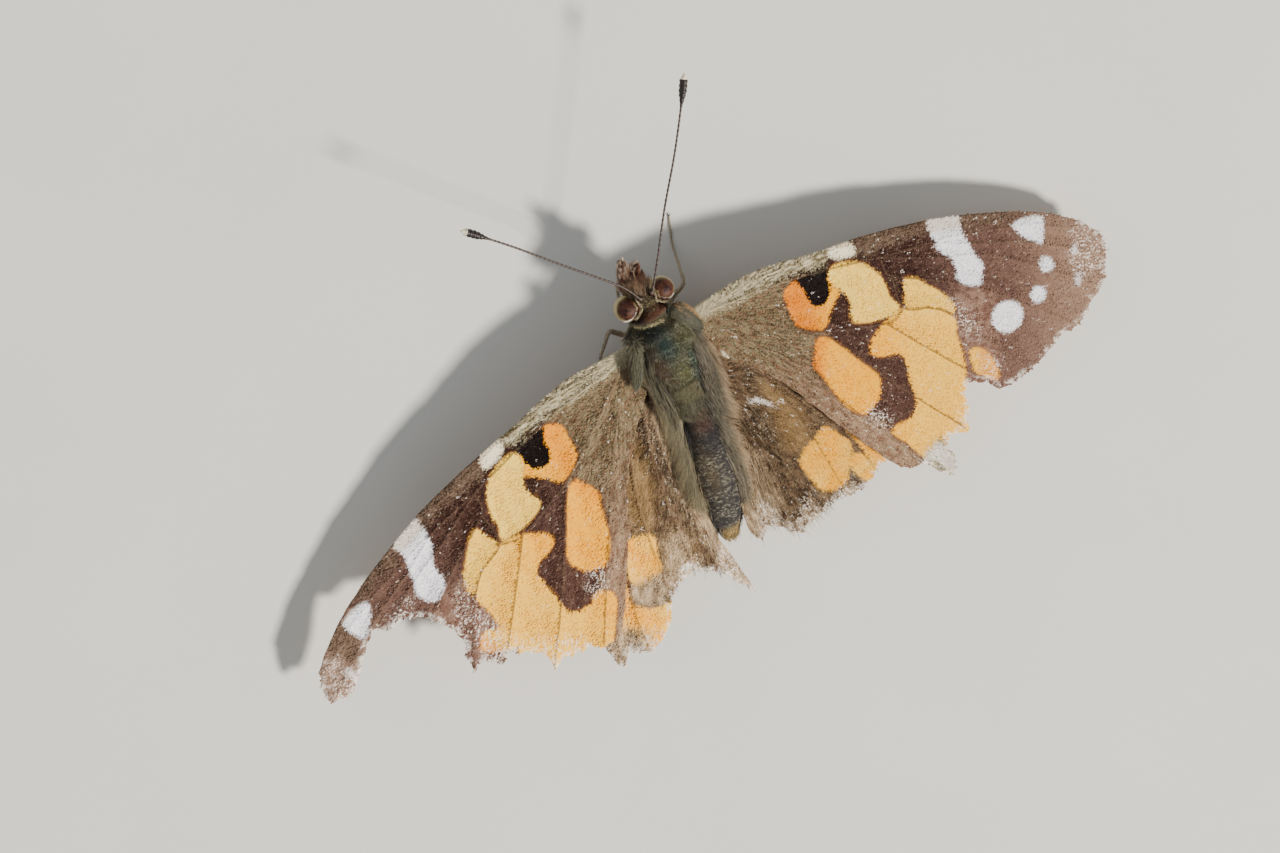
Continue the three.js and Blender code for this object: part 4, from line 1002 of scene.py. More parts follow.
def build_wings():
    fore_finish = [fore_upper_finish(), fore_under_finish()]
    hind_finish = [hind_upper_finish(), hind_under_finish()]
    for suffix, side in SIDES:
        rng = np.random.default_rng(80 + side)
        fore = Wing("wing", fore_place(side), FORE_ROOT, FORE_COSTA, FORE_MARGIN[side], FORE_INNER, FORE_VEINS,
                    marks_of(FORE_MARKS, FORE_OWN_MARKS[side]), FORE_LIFT, FORE_PAINTED_SHADE[side], seed=90 + side)
        hind = Wing("hindwing", hind_place(side), HIND_ROOT, HIND_COSTA, HIND_MARGIN[side], HIND_INNER[side],
                    HIND_VEINS, marks_of(HIND_MARKS, HIND_OWN_MARKS[side]), HIND_LIFT, HIND_PAINTED_SHADE[side],
                    seed=95 + side)
        fore_edge = fore.place(np.array(FORE_INNER[::-1], float), 0.0)

        def near_root(plan):
            return 1 - smoothstep(1.0, 6.5, np.hypot(*plan.T))

        def off_root(plan):
            return smoothstep(0.5, 2.5, np.hypot(*plan.T))

        def seen(plan):
            """Fewer under the forewing, where nothing shows."""
            cover = plan[:, 0] - np.interp(plan[:, 1], -fore_edge[:, 1], side * fore_edge[:, 0])
            return 1 - 0.7 * smoothstep(0.8, 1.6, cover)

        def inner_field(plan):
            rear = 1 - 0.7 * smoothstep(9, 15, plan[:, 1])
            return seen(plan) * (1 - smoothstep(4.5, 7.0, plan[:, 0])) * rear

        def fold(plan):
            ends = smoothstep(5, 6, plan[:, 1]) * smoothstep(15.0, 12.5, plan[:, 1])
            return (1 - smoothstep(2.2, 3.0, plan[:, 0])) * ends

        fore_hair = fore.strew(rng, 5200, near_root)
        fore.build(f"forewing_sheet_{suffix}", fore_finish, f"forewing_{suffix}")
        fore.scales(rng, f"forewing_scales_{suffix}", fore_finish[:1], off_root)
        fore.hair(rng, f"forewing_hair_{suffix}", fore_finish[:1], fore_hair, (0.4, 0.9), (0.03, 0.05), 0.15)
        hind.build(f"hindwing_sheet_{suffix}", hind_finish, f"hindwing_{suffix}")
        hind.scales(rng, f"hindwing_scales_{suffix}", hind_finish[:1], seen)
        hind.hair(rng, f"hindwing_hair_{suffix}", hind_finish[:1], hind.strew(rng, 16000, inner_field),
                  (0.45, 1.1), (0.03, 0.05), 0.12)
        hind.hair(rng, f"fold_hair_{suffix}", hind_finish[:1], hind.strew(rng, 26000, fold),
                  (0.8, 1.7), (0.035, 0.06), 0.35, comb=(-0.25 * side, -0.7, 0))


# Body

# Sections of head and thorax from front to rear: [y, half width, top, underside]
HEAD = [[4.05, 0.55, 0.05, -1.05], [3.75, 0.9, 0.5, -1.45], [3.3, 1.15, 0.8, -1.65], [2.8, 1.15, 0.75, -1.6],
        [2.45, 0.85, 0.45, -1.35]]
PROTHORAX = [[2.15, 0.95, 0.7, -1.9], [1.8, 1.5, 1.0, -2.3], [1.55, 1.4, 0.85, -2.3]]
MESOTHORAX = [[1.25, 1.5, 0.95, -2.6], [0.6, 2.15, 1.5, -3.2], [-0.6, 2.5, 1.9, -3.6], [-2.0, 2.55, 1.85, -3.6],
              [-3.2, 2.35, 1.45, -3.4], [-4.1, 1.95, 0.95, -3.1]]
METATHORAX = [[-4.4, 1.85, 0.8, -3.05], [-5.1, 1.75, 0.7, -2.85], [-5.9, 1.35, 0.45, -2.5]]
ABDOMEN_SPINE = [[0, -6.2, -1.02], [-0.15, -8.5, -1.45], [-0.45, -11.8, -2.2], [-0.75, -14.6, -3.0],
                 [-0.92, -16.6, -3.65]]
ABDOMEN_HALF_WIDTHS = [1.2, 1.35, 1.5, 1.62, 1.65, 1.5, 1.15, 0.45]
ABDOMEN_FLATTEN = 0.92
ABDOMEN_SEGMENTS = 8
ABDOMEN_FRONT_Y = ABDOMEN_SPINE[0][1]


def body_table():
    """Rows of [y, x of the middle, half width, top, underside] from the head to the tail, finely spaced."""
    rows = [[y, 0, half, top, under] for y, half, top, under in HEAD + PROTHORAX + MESOTHORAX + METATHORAX]
    spine = np.array(ABDOMEN_SPINE)
    places = np.linspace(spine[0, 1], spine[-1, 1], len(ABDOMEN_HALF_WIDTHS))
    for half, y in zip(ABDOMEN_HALF_WIDTHS, places):
        x, z = (np.interp(-y, -spine[:, 1], spine[:, axis]) for axis in (0, 2))
        tall = half * ABDOMEN_FLATTEN
        rows.append([y, x, half, z + tall, z - tall])
    rows = np.array(rows)
    y = np.arange(rows[0, 0], rows[-1, 0], -0.05)
    window = np.hanning(11) / np.hanning(11).sum()
    columns = [np.pad(np.interp(-y, -rows[:, 0], column), 5, mode="edge") for column in rows.T[1:]]
    return np.stack([y] + [np.convolve(column, window, "valid") for column in columns], axis=1)


BODY = body_table()
TAIL_Y = BODY[-1, 0]


def body_at(y, *columns):
    """Columns of the body's table at a y: 1 middle, 2 half width, 3 top, 4 underside."""
    return [np.interp(-y, -BODY[:, 0], BODY[:, column]) for column in columns]


def section_power(y):
    """The trunk's sections are boxy, those of the abdomen are ellipses."""
    return 2 / (TRUNK_POWER - 0.4 * smoothstep(-5, -7, y))


def body_place(y, turn, inset=0.0):
    """Place on the body's surface at a y, and a turn round it from its top, right side first."""
    middle, half, top, under = body_at(y, 1, 2, 3, 4)
    half = np.maximum(half - inset, 0.12)
    tall = np.maximum((top - under) / 2 - inset, 0.12)
    sine, cosine = np.sin(turn), np.cos(turn)
    power = section_power(y)
    x = middle + half * np.sign(sine) * np.abs(sine) ** power
    z = (top + under) / 2 + tall * np.sign(cosine) * np.abs(cosine) ** power
    return np.stack([x, y, z], axis=-1)


def body_frame(y, turn, inset=0.0):
    """Place, outward normal, rearward and sideways directions on the body's surface."""
    step = 0.03
    here = body_place(y, turn, inset)
    rear = unit(body_place(y - step, turn, inset) - body_place(y + step, turn, inset))
    around = unit(body_place(y, turn + step, inset) - body_place(y, turn - step, inset))
    return here, unit(np.cross(rear, around)), rear, around


def turn_at(x, y):
    """The turn round the body at which its surface has a given x, kept to the upper half."""
    middle, half = body_at(y, 1, 2)
    share = np.clip(np.abs(x - middle) / half, 0, 1)
    return np.sign(x - middle) * np.minimum(np.arcsin(share ** (1 / section_power(y))), 1.45)


def body_uv(turn, y):
    return np.stack([turn / TURN + 0.5, (y - TAIL_Y) / (HEAD_FRONT_Y - TAIL_Y)], axis=1)


# Spots on the thorax: colour, most of it that covers, centre (x, y), reach (x, y)
THORAX_SPOTS = [
    ((74, 54, 38), 0.9, (-1.4, -1.4), (0.7, 1.5)),
    ((36, 56, 54), 0.9, (-0.4, -0.1), (0.75, 1.3)),
    ((22, 26, 26), 0.9, (-0.85, 0.95), (0.5, 0.3)),
    # This yellow-green spot down the middle is partly the coat's own colour and partly a painted highlight of
    # its gloss
    ((88, 88, 48), 0.65, (0.0, -2.4), (0.6, 1.0)),
    ((84, 80, 52), 0.8, (1.2, -0.1), (0.8, 0.8)),
    ((34, 54, 42), 0.8, (0.9, -1.8), (0.35, 1.1)),
    ((56, 68, 66), 0.85, (1.0, -3.6), (0.4, 1.2)),
]


def body_tone(points, jitter):
    """Colour of the body at a place, the same for the skin and for the hair that grows there."""
    x, y, z = points.T
    middle, top, under = body_at(y, 1, 3, 4)
    side = np.abs(x - middle)
    height = z - (top + under) / 2
    tone = np.tile(srgb((66, 60, 40)), (len(points), 1))

    def lay(colour, share):
        nonlocal tone
        share = np.clip(share, 0, 1)[:, None]
        tone = tone * (1 - share) + srgb(colour) * share

    def near(centre, reach):
        return np.exp(-(((x - centre[0]) / reach[0]) ** 2) - ((y - centre[1]) / reach[1]) ** 2)

    flecks = smoothstep(0.84, 0.95, jitter)
    for colour, most, centre, reach in THORAX_SPOTS:
        lay(colour, most * near(centre, reach))
    tone = tone * 0.84
    lay((138, 146, 120), 0.4 * flecks)
    lay((78, 72, 58), smoothstep(1.6, 2.1, side))
    shield = smoothstep(-3.5, -3.8, y) * (1 - smoothstep(0.6, 1.2, x)) * (1 - smoothstep(1.3, 1.7, side))
    lay((80, 75, 54), shield)
    groove = np.minimum(np.abs(y + 3.4 + 0.13 * (x - 0.1) ** 2), np.abs(y + 5.2 - 0.1 * (x + 0.6) ** 2))
    lay((20, 22, 14), 0.8 * np.exp(-((groove / 0.1) ** 2)) * smoothstep(1.5, 1.2, side))
    lay((84, 60, 42), 0.75 * smoothstep(-4.9, -5.7, y) * (1 - smoothstep(0.7, 1.2, side)))
    waist = smoothstep(-4.9, -6.1, y + 0.5 * (jitter - 0.5)) * (1 - smoothstep(1.2, 1.6, side))
    lay((36, 31, 28), 0.85 * waist * smoothstep(0.4, 0.6, jitter))
    lay((168, 154, 128), smoothstep(-0.2, -1.2, height) * smoothstep(-7, -5, y))

    above = smoothstep(-0.6, 0.1, height)
    lay((70, 64, 43), smoothstep(1.2, 1.28, y) * smoothstep(2.5, 2.3, y) * above)
    line = smoothstep(0.09, 0.05, np.abs(y - 1.3 + 0.06 * x)) * smoothstep(0.5, 0.1, x)
    lay((196, 182, 138), line * above)
    rust = smoothstep(0.24, 0.16, np.abs(y - 2.03 - 0.07 * x)) * above
    lay((80, 46, 28), rust)
    lay((40, 22, 14), rust * smoothstep(-0.3, -0.9, x) * smoothstep(2.1, 1.95, y) * 0.9)
    lay((140, 150, 142), near((1.12, 1.55), (0.3, 0.22)))

    head = smoothstep(2.2, 2.35, y)
    lay((78, 68, 48), head)
    lay((156, 124, 98), smoothstep(3.0, 3.4, y))
    lay((148, 92, 66), smoothstep(3.3, 3.6, y) * smoothstep(0.15, 0.5, x))
    lay((160, 140, 98), head * flecks * 0.8)
    lay((176, 160, 132), head * smoothstep(-0.1, -0.6, height))

    back = smoothstep(-6.1, -6.8, y)
    lay((30, 28, 30), back)
    lay((66, 42, 32), 0.8 * back * smoothstep(-8.2, -7.2, y) * smoothstep(1.1, 0.4, side))
    band = 0.5 + 0.5 * np.cos(segment_place(y) * TURN)
    speckled = 0.25 + 0.75 * smoothstep(-8.4, -10.4, y)
    lay((84, 80, 76), 0.35 * back * speckled)
    lay((98, 84, 58), 0.55 * back * near((-1.0, -10.6), (0.6, 1.9)))
    lay((92, 58, 54), 0.5 * back * near((0.9, -12.8), (0.45, 1.4)))
    lay((168, 160, 138), back * speckled * (0.38 + 0.22 * band) * smoothstep(0.72, 0.97, jitter))
    lay((134, 116, 84), back * smoothstep(1.15, 1.5, side) * 0.85)
    lay((176, 156, 118), back * smoothstep(-0.3, -0.9, height))
    lay((150, 124, 76), smoothstep(-15.0, -16.2, y))
    return tone


def segment_place(y):
    """Whole at each ring of the abdomen."""
    return (y - ABDOMEN_FRONT_Y) / (TAIL_Y - ABDOMEN_FRONT_Y) * ABDOMEN_SEGMENTS


def tone_finish(name, roughness, sheen, specular=0.3, grain_scale=9.0, contrast=0.35):
    """A finish that takes its colour from the tone layer, uneven at the scale of single hairs."""
    finish = Finish(name, roughness, sheen, specular)
    grain = finish.noise(finish.layer("spot", "Vector"), grain_scale)
    light = finish.ramp(grain, 0.3, 0.7, 1 - contrast, 1 + contrast)
    colour = finish.dimmed(finish.layer("tone", "Color"), light)
    return finish.finish(colour, grain, strength=0.3, distance=0.03)


def coat(name, slot, grown, material):
    """One coat piece from groups of hair: roots, forward, normal, length, width, tone, uv and options."""
    bodies = []
    for roots, forward, normal, length, width, tone, root_uv, options in grown:
        points, triangles, per_hair, tip_place = hairs(roots, forward, normal, length, width, **options)
        # Painted shade and light along each hair: darker at the root, lighter at the tip
        shade = (HAIR_ROOT_SHADE + HAIR_TIP_GAIN * tip_place)[None, :, None]
        bodies.append((points, triangles, {
            "tone": (tone[:, None] * shade).reshape(-1, 3),
            "spot": np.repeat(roots, per_hair, axis=0) + np.tile(tip_place, len(roots))[:, None] * [0, 0, 0.2],
            "uv": hair_patches(root_uv, per_hair, tip_place)}))
    points, triangles, layers = joined(bodies)
    uv = layers.pop("uv")
    make_piece(name, slot, points, triangles, [material], layers, uv)


def grow_on_body(rng, count, y_range, turn_range, length, width, lift, swing=0.25, lean=0.0, inset=0.18,
                 droop=0.0, rings=2, ahead=False, lock=14, vary=0.3):
    """Hairs strewn over both sides of a part of the body, in locks that share their way and close up."""
    locks = max(1, count // lock)
    mid_y = rng.uniform(*sorted(y_range), locks)
    mid_turn = rng.uniform(*turn_range, locks) * rng.choice([-1, 1], locks)
    mid_angle = rng.normal(0, swing, locks)
    mid_tone = rng.uniform(1 - vary, 1 + vary, locks)
    which = rng.integers(0, locks, count)
    y = mid_y[which] + rng.normal(0, 0.12, count)
    turn = mid_turn[which] + rng.normal(0, 0.08, count)
    roots, normal, rear, around = body_frame(y, turn, inset)
    away = around * np.sign(turn)[:, None]
    angle = (mid_angle[which] + rng.normal(0, 0.06, count))[:, None]
    rise = np.maximum(rng.normal(lift, lift * 0.35, count), 0.03)[:, None]
    way = -rear if ahead else rear
    forward = unit(way * np.cos(angle) + away * (lean + np.sin(angle)) + normal * np.tan(rise))
    size = rng.uniform(*length, count)
    closing = body_place(mid_y, mid_turn, inset)[which] - roots
    bend = -0.35 * normal * np.tan(rise) + np.array([0, 0, -droop]) + 0.6 * closing / size[:, None]
    jitter = rng.uniform(0, 1, count)
    tone = body_tone(roots, jitter) * (mid_tone[which] * rng.uniform(0.8, 1.25, count))[:, None]
    thick = rng.uniform(*width, count)
    return [roots, forward, normal, size, thick, tone, body_uv(turn, y), {"bend": bend, "rings": rings}]


def build_skin(material):
    y = np.concatenate([np.linspace(HEAD_FRONT_Y - 0.08, -6.0, 110), np.linspace(-6.1, TAIL_Y + 0.1, 110)])
    y, turn = np.meshgrid(y, np.linspace(0, TURN, 56, endpoint=False), indexing="ij")
    ring = segment_place(y)
    groove = np.exp(-(((ring - np.round(ring)) / 0.1) ** 2)) * smoothstep(-6.3, -7, y)
    inset = COAT_DEPTH * (1 - 0.4 * smoothstep(-6, -7, y))
    points, triangles = loft(body_place(y, turn, inset + 0.07 * groove))
    jitter = np.random.default_rng(11).uniform(0, 1, len(points))
    # The skin is painted at 0.7 of the coat's tone: painted shade under the hair
    layers = toned(points, body_tone(points, jitter), 0.7)
    make_piece("body_skin", "fur", points, triangles, [material], layers,
               replaced=["head", "prothorax", "mesothorax", "metathorax", "abdomen"])


# Coats of the body: piece, slot and groups of hair, each (hairs, y from and to, turns from and to, lengths,
# widths, lift and what else grow_on_body takes)
ALL_ROUND = (0.0, math.pi)
BODY_COATS = [
    ("thorax_coat", "fur", [
        (9000, (1.0, -4.4), (0.0, 1.1), (0.3, 0.55), (0.045, 0.075), 0.09, {"swing": 0.12, "vary": 0.12}),
        (2600, (1.1, -4.4), (0.95, 1.9), (0.7, 1.3), (0.05, 0.08), 0.25, {"lean": 0.1}),
        (2600, (1.2, -6.0), (1.7, math.pi), (0.6, 1.1), (0.06, 0.1), 0.25, {}),
    ]),
    ("waist_coat", "fur", [
        (3000, (-3.7, -6.2), (0.0, 1.7), (0.6, 1.2), HAIR_WIDTHS, 0.14,
         {"swing": 0.15, "droop": 0.1, "vary": 0.2}),
        (1500, (-5.0, -6.6), (0.0, 1.5), (0.9, 1.7), (0.03, 0.05), 0.12,
         {"swing": 0.3, "droop": 0.1, "rings": 3}),
    ]),
    ("collar_coat", "collar", [
        (3600, (1.35, 2.3), (0.0, 1.7), (0.18, 0.34), (0.045, 0.07), 0.3, {"lock": 8, "vary": 0.2}),
        (1500, (1.15, 1.45), (0.0, 1.5), (0.16, 0.28), (0.045, 0.07), 0.3, {"lock": 8, "vary": 0.2}),
        (900, (1.2, 2.3), (1.6, math.pi), (0.4, 0.7), (0.06, 0.1), 0.4, {}),
    ]),
    ("head_coat", "fur", [
        (2200, (2.3, 3.9), (0.0, 0.62), (0.2, 0.4), (0.035, 0.06), 0.45, {"swing": 0.4, "ahead": True}),
        (2600, (3.2, 4.0), (0.0, 1.6), (0.6, 1.3), (0.03, 0.05), 0.2,
         {"ahead": True, "rings": 3, "vary": 0.55}),
        (1100, (2.3, 4.0), (0.9, math.pi), (0.3, 0.6), (0.05, 0.08), 0.4, {"ahead": True}),
    ]),
    ("abdomen_coat", "abdomen", [
        (15000, (-6.0, -16.2), ALL_ROUND, (0.14, 0.24), (0.05, 0.08), 0.08, {"inset": 0.12, "lock": 2}),
        (3600, (-5.6, -16.3), (1.15, 1.9), (0.6, 1.2), (0.035, 0.06), 0.3, {"lean": 0.25, "inset": 0.12}),
        (500, (-15.2, -16.5), ALL_ROUND, (0.5, 0.9), (0.04, 0.07), 0.2, {"inset": 0.1}),
    ]),
]


def build_body_coats(material, glossy):
    rng = np.random.default_rng(21)
    for name, slot, groups in BODY_COATS:
        grown = [grow_on_body(rng, *sizes, **options) for *sizes, options in groups]
        coat(name, slot, grown, glossy if name == "thorax_coat" else material)


# The long silky hair from the shoulders back beside the abdomen: its way, its half width along it, its tones
# near the body and away from it, and how much lighter they get along it
SIDE_HAIR = {
    "left": ([[-1.95, 0.35, 0.9], [-2.3, -1.4, 0.6], [-2.2, -2.8, 0.65], [-2.1, -4.2, 0.4],
              [-2.2, -6.2, -0.25], [-2.45, -8.3, -0.8], [-2.75, -11.1, -1.2], [-2.6, -13.6, -2.0]],
             [0.3, 0.4, 0.5, 0.6, 0.7, 0.75, 0.7, 0.5], (104, 96, 74), (120, 106, 78), (0.78, 1.6)),
    "right": ([[1.95, 0.2, 1.2], [1.95, -0.8, 1.25], [2.0, -2.4, 1.1], [1.85, -5.15, 0.4], [1.85, -7.4, -0.3],
               [1.6, -9.8, -0.8], [1.35, -12.4, -1.35], [0.95, -14.5, -2.2]],
              [0.4, 0.65, 0.85, 1.0, 0.85, 0.65, 0.55, 0.4], (92, 84, 68), (130, 110, 84), (1.05, 1.35)),
}


def build_side_hair(material):
    rng = np.random.default_rng(33)
    locks, count = 220, 5600
    for suffix, side in SIDES:
        route, halves, inner_tone, outer_tone, fading = SIDE_HAIR[suffix]
        line = spline(route, ROUTE_STEP)
        course = unit(np.gradient(line, axis=0))
        width = np.interp(np.linspace(0, 1, len(line)), np.linspace(0, 1, len(halves)), halves)
        mid_place = rng.uniform(0, 0.86, locks)
        mid_shift = rng.uniform(-1, 1, locks)
        mid_tone = rng.uniform(0.72, 1.22, locks) * np.where(rng.uniform(0, 1, locks) < 0.16, 0.5, 1)
        mid_size = rng.uniform(1.6, 3.0, locks)
        mid_goal = rng.normal(0, 0.12, (locks, 3))
        which = rng.integers(0, locks, count)
        place = np.clip(mid_place[which] + rng.normal(0, 0.025, count), 0, 0.9)
        index = (place * (len(line) - 1)).astype(int)
        shift = mid_shift[which] + rng.normal(0, 0.2, count)
        x = line[index, 0] + shift * width[index]
        y = line[index, 1]
        turn = turn_at(x, y)
        roots, normal, _, _ = body_frame(y, turn, 0.15)
        reach = mid_size[which] * rng.uniform(0.85, 1.1, count)
        ahead = np.minimum(index + (reach / ROUTE_STEP).astype(int), len(line) - 1)
        goal = line[ahead] + mid_goal[which] + rng.normal(0, 0.08, (count, 3))
        goal[:, 0] += (mid_shift[which] + 0.4 * (shift - mid_shift[which])) * width[ahead]
        way = goal - roots
        size = np.linalg.norm(way, axis=1)
        forward = unit(course[index] + 0.2 * normal + rng.normal(0, 0.02, (count, 3)))
        bend = way / size[:, None] - forward
        outer = smoothstep(0.2, 0.9, shift * side)[:, None]
        light = mid_tone[which] * rng.uniform(0.85, 1.15, count) * np.interp(place, [0.1, 0.7], fading)
        tone = (srgb(inner_tone) * (1 - outer) + srgb(outer_tone) * outer) * light[:, None]
        thick = rng.uniform(*HAIR_WIDTHS, count)
        hair = [roots, forward, normal, size, thick, tone, body_uv(turn, y), {"bend": bend, "rings": 4}]
        coat(f"side_tuft_{suffix}", "fur", [hair], material)


# Eyes, palps, antennae and tongue

# Rows of scales round each eye, as ways from the eye's middle: outward, ahead, up
ORBIT_ARCS = [
    {"route": [[0.68, -0.68, 0.2], [0.6, -0.69, 0.37], [0.33, -0.66, 0.6]],
     "count": 220, "spread": 0.035, "length": (0.14, 0.24), "colour": (236, 230, 220)},
    {"route": [[0.33, -0.66, 0.6], [0.07, -0.59, 0.8], [-0.28, -0.34, 0.9], [-0.5, -0.05, 0.85]],
     "count": 150, "spread": 0.02, "length": (0.12, 0.2), "colour": (206, 196, 178)},
    {"route": [[-0.55, 0.6, 0.58], [-0.5, 0.3, 0.78], [-0.5, -0.05, 0.85]],
     "count": 120, "spread": 0.04, "length": (0.14, 0.24), "colour": (138, 122, 84)},
]

# The pale line along the head between eye and antenna, which turns out behind the eye
BROW_ROUTE = [[0.72, 3.55, 0.62], [0.66, 3.1, 0.72], [0.62, 2.65, 0.68], [0.85, 2.35, 0.55],
              [1.15, 2.15, 0.45]]


def brow_hair(rng, side):
    line = spline(np.array(BROW_ROUTE) * [side, 1, 1], 0.02)
    count = 150
    index = rng.integers(0, len(line), count)
    roots = line[index] + rng.normal(0, 0.035, (count, 3))
    forward = unit(unit(np.gradient(line, axis=0))[index] + rng.normal(0, 0.2, (count, 3)))
    normal = np.tile(unit(np.array([side * 0.3, 0.1, 0.95])), (count, 1))
    tone = srgb((176, 160, 126)) * rng.uniform(0.6, 1.15, (count, 1))
    root_uv = np.stack([0.5 + 0.2 * (index / len(line)), np.full(count, 0.5)], axis=1)
    length = rng.uniform(0.14, 0.26, count)
    return [roots, forward, normal, length, rng.uniform(0.04, 0.06, count), tone, root_uv, {}]


def build_eyes(material, orbit_material):
    rng = np.random.default_rng(44)
    for suffix, side in SIDES:
        mirror = np.array([side, 1, 1])
        centre = EYE_CENTRE * mirror
        ways = ball_ways(np.linspace(math.pi, 0, 44)[1:-1], 52) * mirror
        points, triangles = loft(centre + ways * EYE_RADII)
        layers = {"facing": unit((points - centre) / EYE_RADII) * mirror, "spot": points}
        make_piece(f"eye_ball_{suffix}", "eye", points, triangles, [material], layers,
                   replaced=[f"eye_{suffix}"])
        grown = []
        for arc in ORBIT_ARCS:
            count = arc["count"]
            route = spline(arc["route"], 0.02)
            index = rng.integers(0, len(route), count)
            outward = unit(route[index] + rng.normal(0, arc["spread"], (count, 3)))
            along = unit(np.gradient(route, axis=0))[index]
            roots = centre + outward * EYE_RADII * 0.99 * mirror
            forward = unit((along + 0.35 * outward + rng.normal(0, 0.2, (count, 3))) * mirror)
            tone = srgb(arc["colour"]) * rng.uniform(0.75, 1.15, (count, 1))
            length = rng.uniform(*arc["length"], count)
            thick = rng.uniform(*HAIR_WIDTHS, count)
            root_uv = outward[:, :2] * 0.45 + 0.5
            grown.append([roots, forward, unit(outward * mirror), length, thick, tone, root_uv, {}])
        coat(f"orbit_{suffix}", "fur", [*grown, brow_hair(rng, side)], orbit_material)


def eye_finish():
    """Brown facets with three dark false pupils, paler below."""
    f = Finish("eye_facets", roughness=0.5, specular=0.2)
    facing = f.layer("facing", "Vector")
    spot = f.layer("spot", "Vector")
    upward = {0: facing, 1: (-0.05, 0.15, 0.98)}
    height = f.node("ShaderNodeVectorMath", upward, "Value", operation="DOT_PRODUCT")
    level = f.plus(height, f.swing(f.noise(spot, 2.5, 3.0), 0.3))
    colour = f.layered(
        f.blend(f.noise(spot, 1.6), 0.4, 0.62, (72, 38, 24), (46, 20, 18)),
        (f.ramp(f.noise(spot, 7.0), 0.5, 0.75, 0, 0.45), (104, 78, 46)))
    for way, reach in (((0.3, 0.25, 0.92), 0.2), ((0.5, -0.1, 0.86), 0.15), ((0.05, 0.1, 0.99), 0.13)):
        near = f.node("ShaderNodeVectorMath", {0: facing, 1: way}, "Value", operation="DISTANCE")
        colour = f.mix(f.ramp(near, reach * 0.4, reach, 0.8, 0.0), colour, (20, 8, 12))
    colour = f.layered(
        colour,
        (f.ramp(level, 0.6, 0.48), (96, 78, 46)),
        (f.ramp(level, 0.45, 0.3), (166, 152, 116)),
        (f.ramp(level, -0.1, -0.5), (96, 76, 52)))
    return f.finish(colour, f.cells(spot, 26.0), strength=0.5, distance=0.02)


PALP_ROUTES = {
    -1: [[-0.62, 3.5, -0.95], [-0.68, 4.0, -0.98], [-0.52, 4.5, -0.92], [-0.42, 5.0, -0.68],
         [-0.36, 5.5, -0.3], [-0.3, 5.95, 0.05]],
    1: [[0.36, 3.5, -0.85], [0.4, 4.3, -0.95], [0.42, 4.7, -0.8], [0.42, 5.0, -0.5], [0.45, 5.2, -0.2]],
}


def palp_girth(place):
    return 0.42 * (1 - 0.8 * place**2)


def build_palps(material):
    rng = np.random.default_rng(55)
    brown, cream = srgb((128, 90, 70)), srgb((206, 186, 164))
    locks, count = 110, 2800
    for suffix, side in SIDES:
        points, triangles, _ = tube(PALP_ROUTES[side], palp_girth, sides=14)
        layers = toned(points, srgb((92, 60, 40)))
        make_piece(f"palp_core_{suffix}", "palp", points, triangles, [material], layers,
                   replaced=[f"palp_{suffix}"])
        mid_place = rng.uniform(0.02, 0.95, locks)
        mid_turn = rng.uniform(0, TURN, locks)
        mid_tone = rng.uniform(0.75, 1.25, locks)
        which = rng.integers(0, locks, count)
        place = np.clip(mid_place[which] + rng.normal(0, 0.03, count), 0, 1)
        turn = mid_turn[which] + rng.normal(0, 0.16, count)
        middles, ahead, outward = around_route(spline(PALP_ROUTES[side], ROUTE_STEP), place, turn)
        roots = middles + outward * (palp_girth(place) * 0.95)[:, None]
        forward = unit(ahead + outward * rng.uniform(0.12, 0.4, (count, 1)))
        if side < 0:
            streak = smoothstep(0.1, 0.7, np.sin(5 * mid_turn[which] + 0.6))
        else:
            streak = smoothstep(0.25, -0.15, outward @ [0.85, -0.41, 0.34])
        share = np.clip(0.85 * streak + smoothstep(0.1, -0.5, outward[:, 2]), 0, 1)[:, None]
        tone = (cream * share + brown * (1 - share)) * (mid_tone[which] * rng.uniform(0.8, 1.2, count))[:, None]
        length = rng.uniform(0.45, 0.9, count) * (1 - 0.3 * place)
        bristles = [roots, forward, outward, length, rng.uniform(0.025, 0.045, count), tone,
                    np.stack([turn / TURN % 1, place], axis=1), {"rings": 3}]
        coat(f"palp_coat_{suffix}", "palp", [bristles], material)


ANTENNA_ROUTES = {
    -1: [[-0.42, 3.3, 0.45], [-0.52, 3.5, 0.95], [-1.5, 5.2, 1.3], [-4.4, 8.6, 1.75], [-6.8, 11.5, 2.25],
         [-8.9, 13.85, 2.75], [-9.8, 14.78, 3.0]],
    1: [[0.42, 3.3, 0.45], [0.52, 3.5, 0.95], [1.61, 5.07, 1.0], [3.65, 8.19, 1.1], [5.78, 11.17, 1.25],
        [7.6, 14.0, 1.4], [8.74, 15.95, 1.5]],
}
ANTENNA_RING = 0.34


def build_antennae(material):
    for suffix, side in SIDES:
        route = ANTENNA_ROUTES[side]
        length = np.linalg.norm(np.diff(np.array(route), axis=0), axis=1).sum()

        def ringed(place):
            return np.cos(TURN * place * length / ANTENNA_RING)

        def radius(place):
            base = 0.2 * smoothstep(0.05, 0.0, place)
            club = 0.2 * smoothstep(0.84, 0.93, place) * smoothstep(1.005, 0.965, place)
            return (0.075 + base + club) * (1 + 0.09 * ringed(place)) * smoothstep(1.03, 0.985, place)

        points, triangles, along = tube(route, radius, step=0.06, sides=12)
        tone = np.tile(srgb((40, 24, 18)), (len(points), 1))
        tone[(ringed(along) < -0.55) & (along < 0.84)] = srgb((84, 66, 52))
        tone[along > 0.86] = srgb((30, 19, 16))
        tone[along > 0.975] = srgb((228, 214, 186))
        make_piece(f"antenna_stem_{suffix}", "horn", points, triangles, [material], toned(points, tone),
                   replaced=[f"antenna_{suffix}"])


TONGUE_ROOT = [0, 3.75, -1.35]
TONGUE_COIL_Y = 4.65
TONGUE_COIL_Z = -2.15
TONGUE_TURNS = 1.5


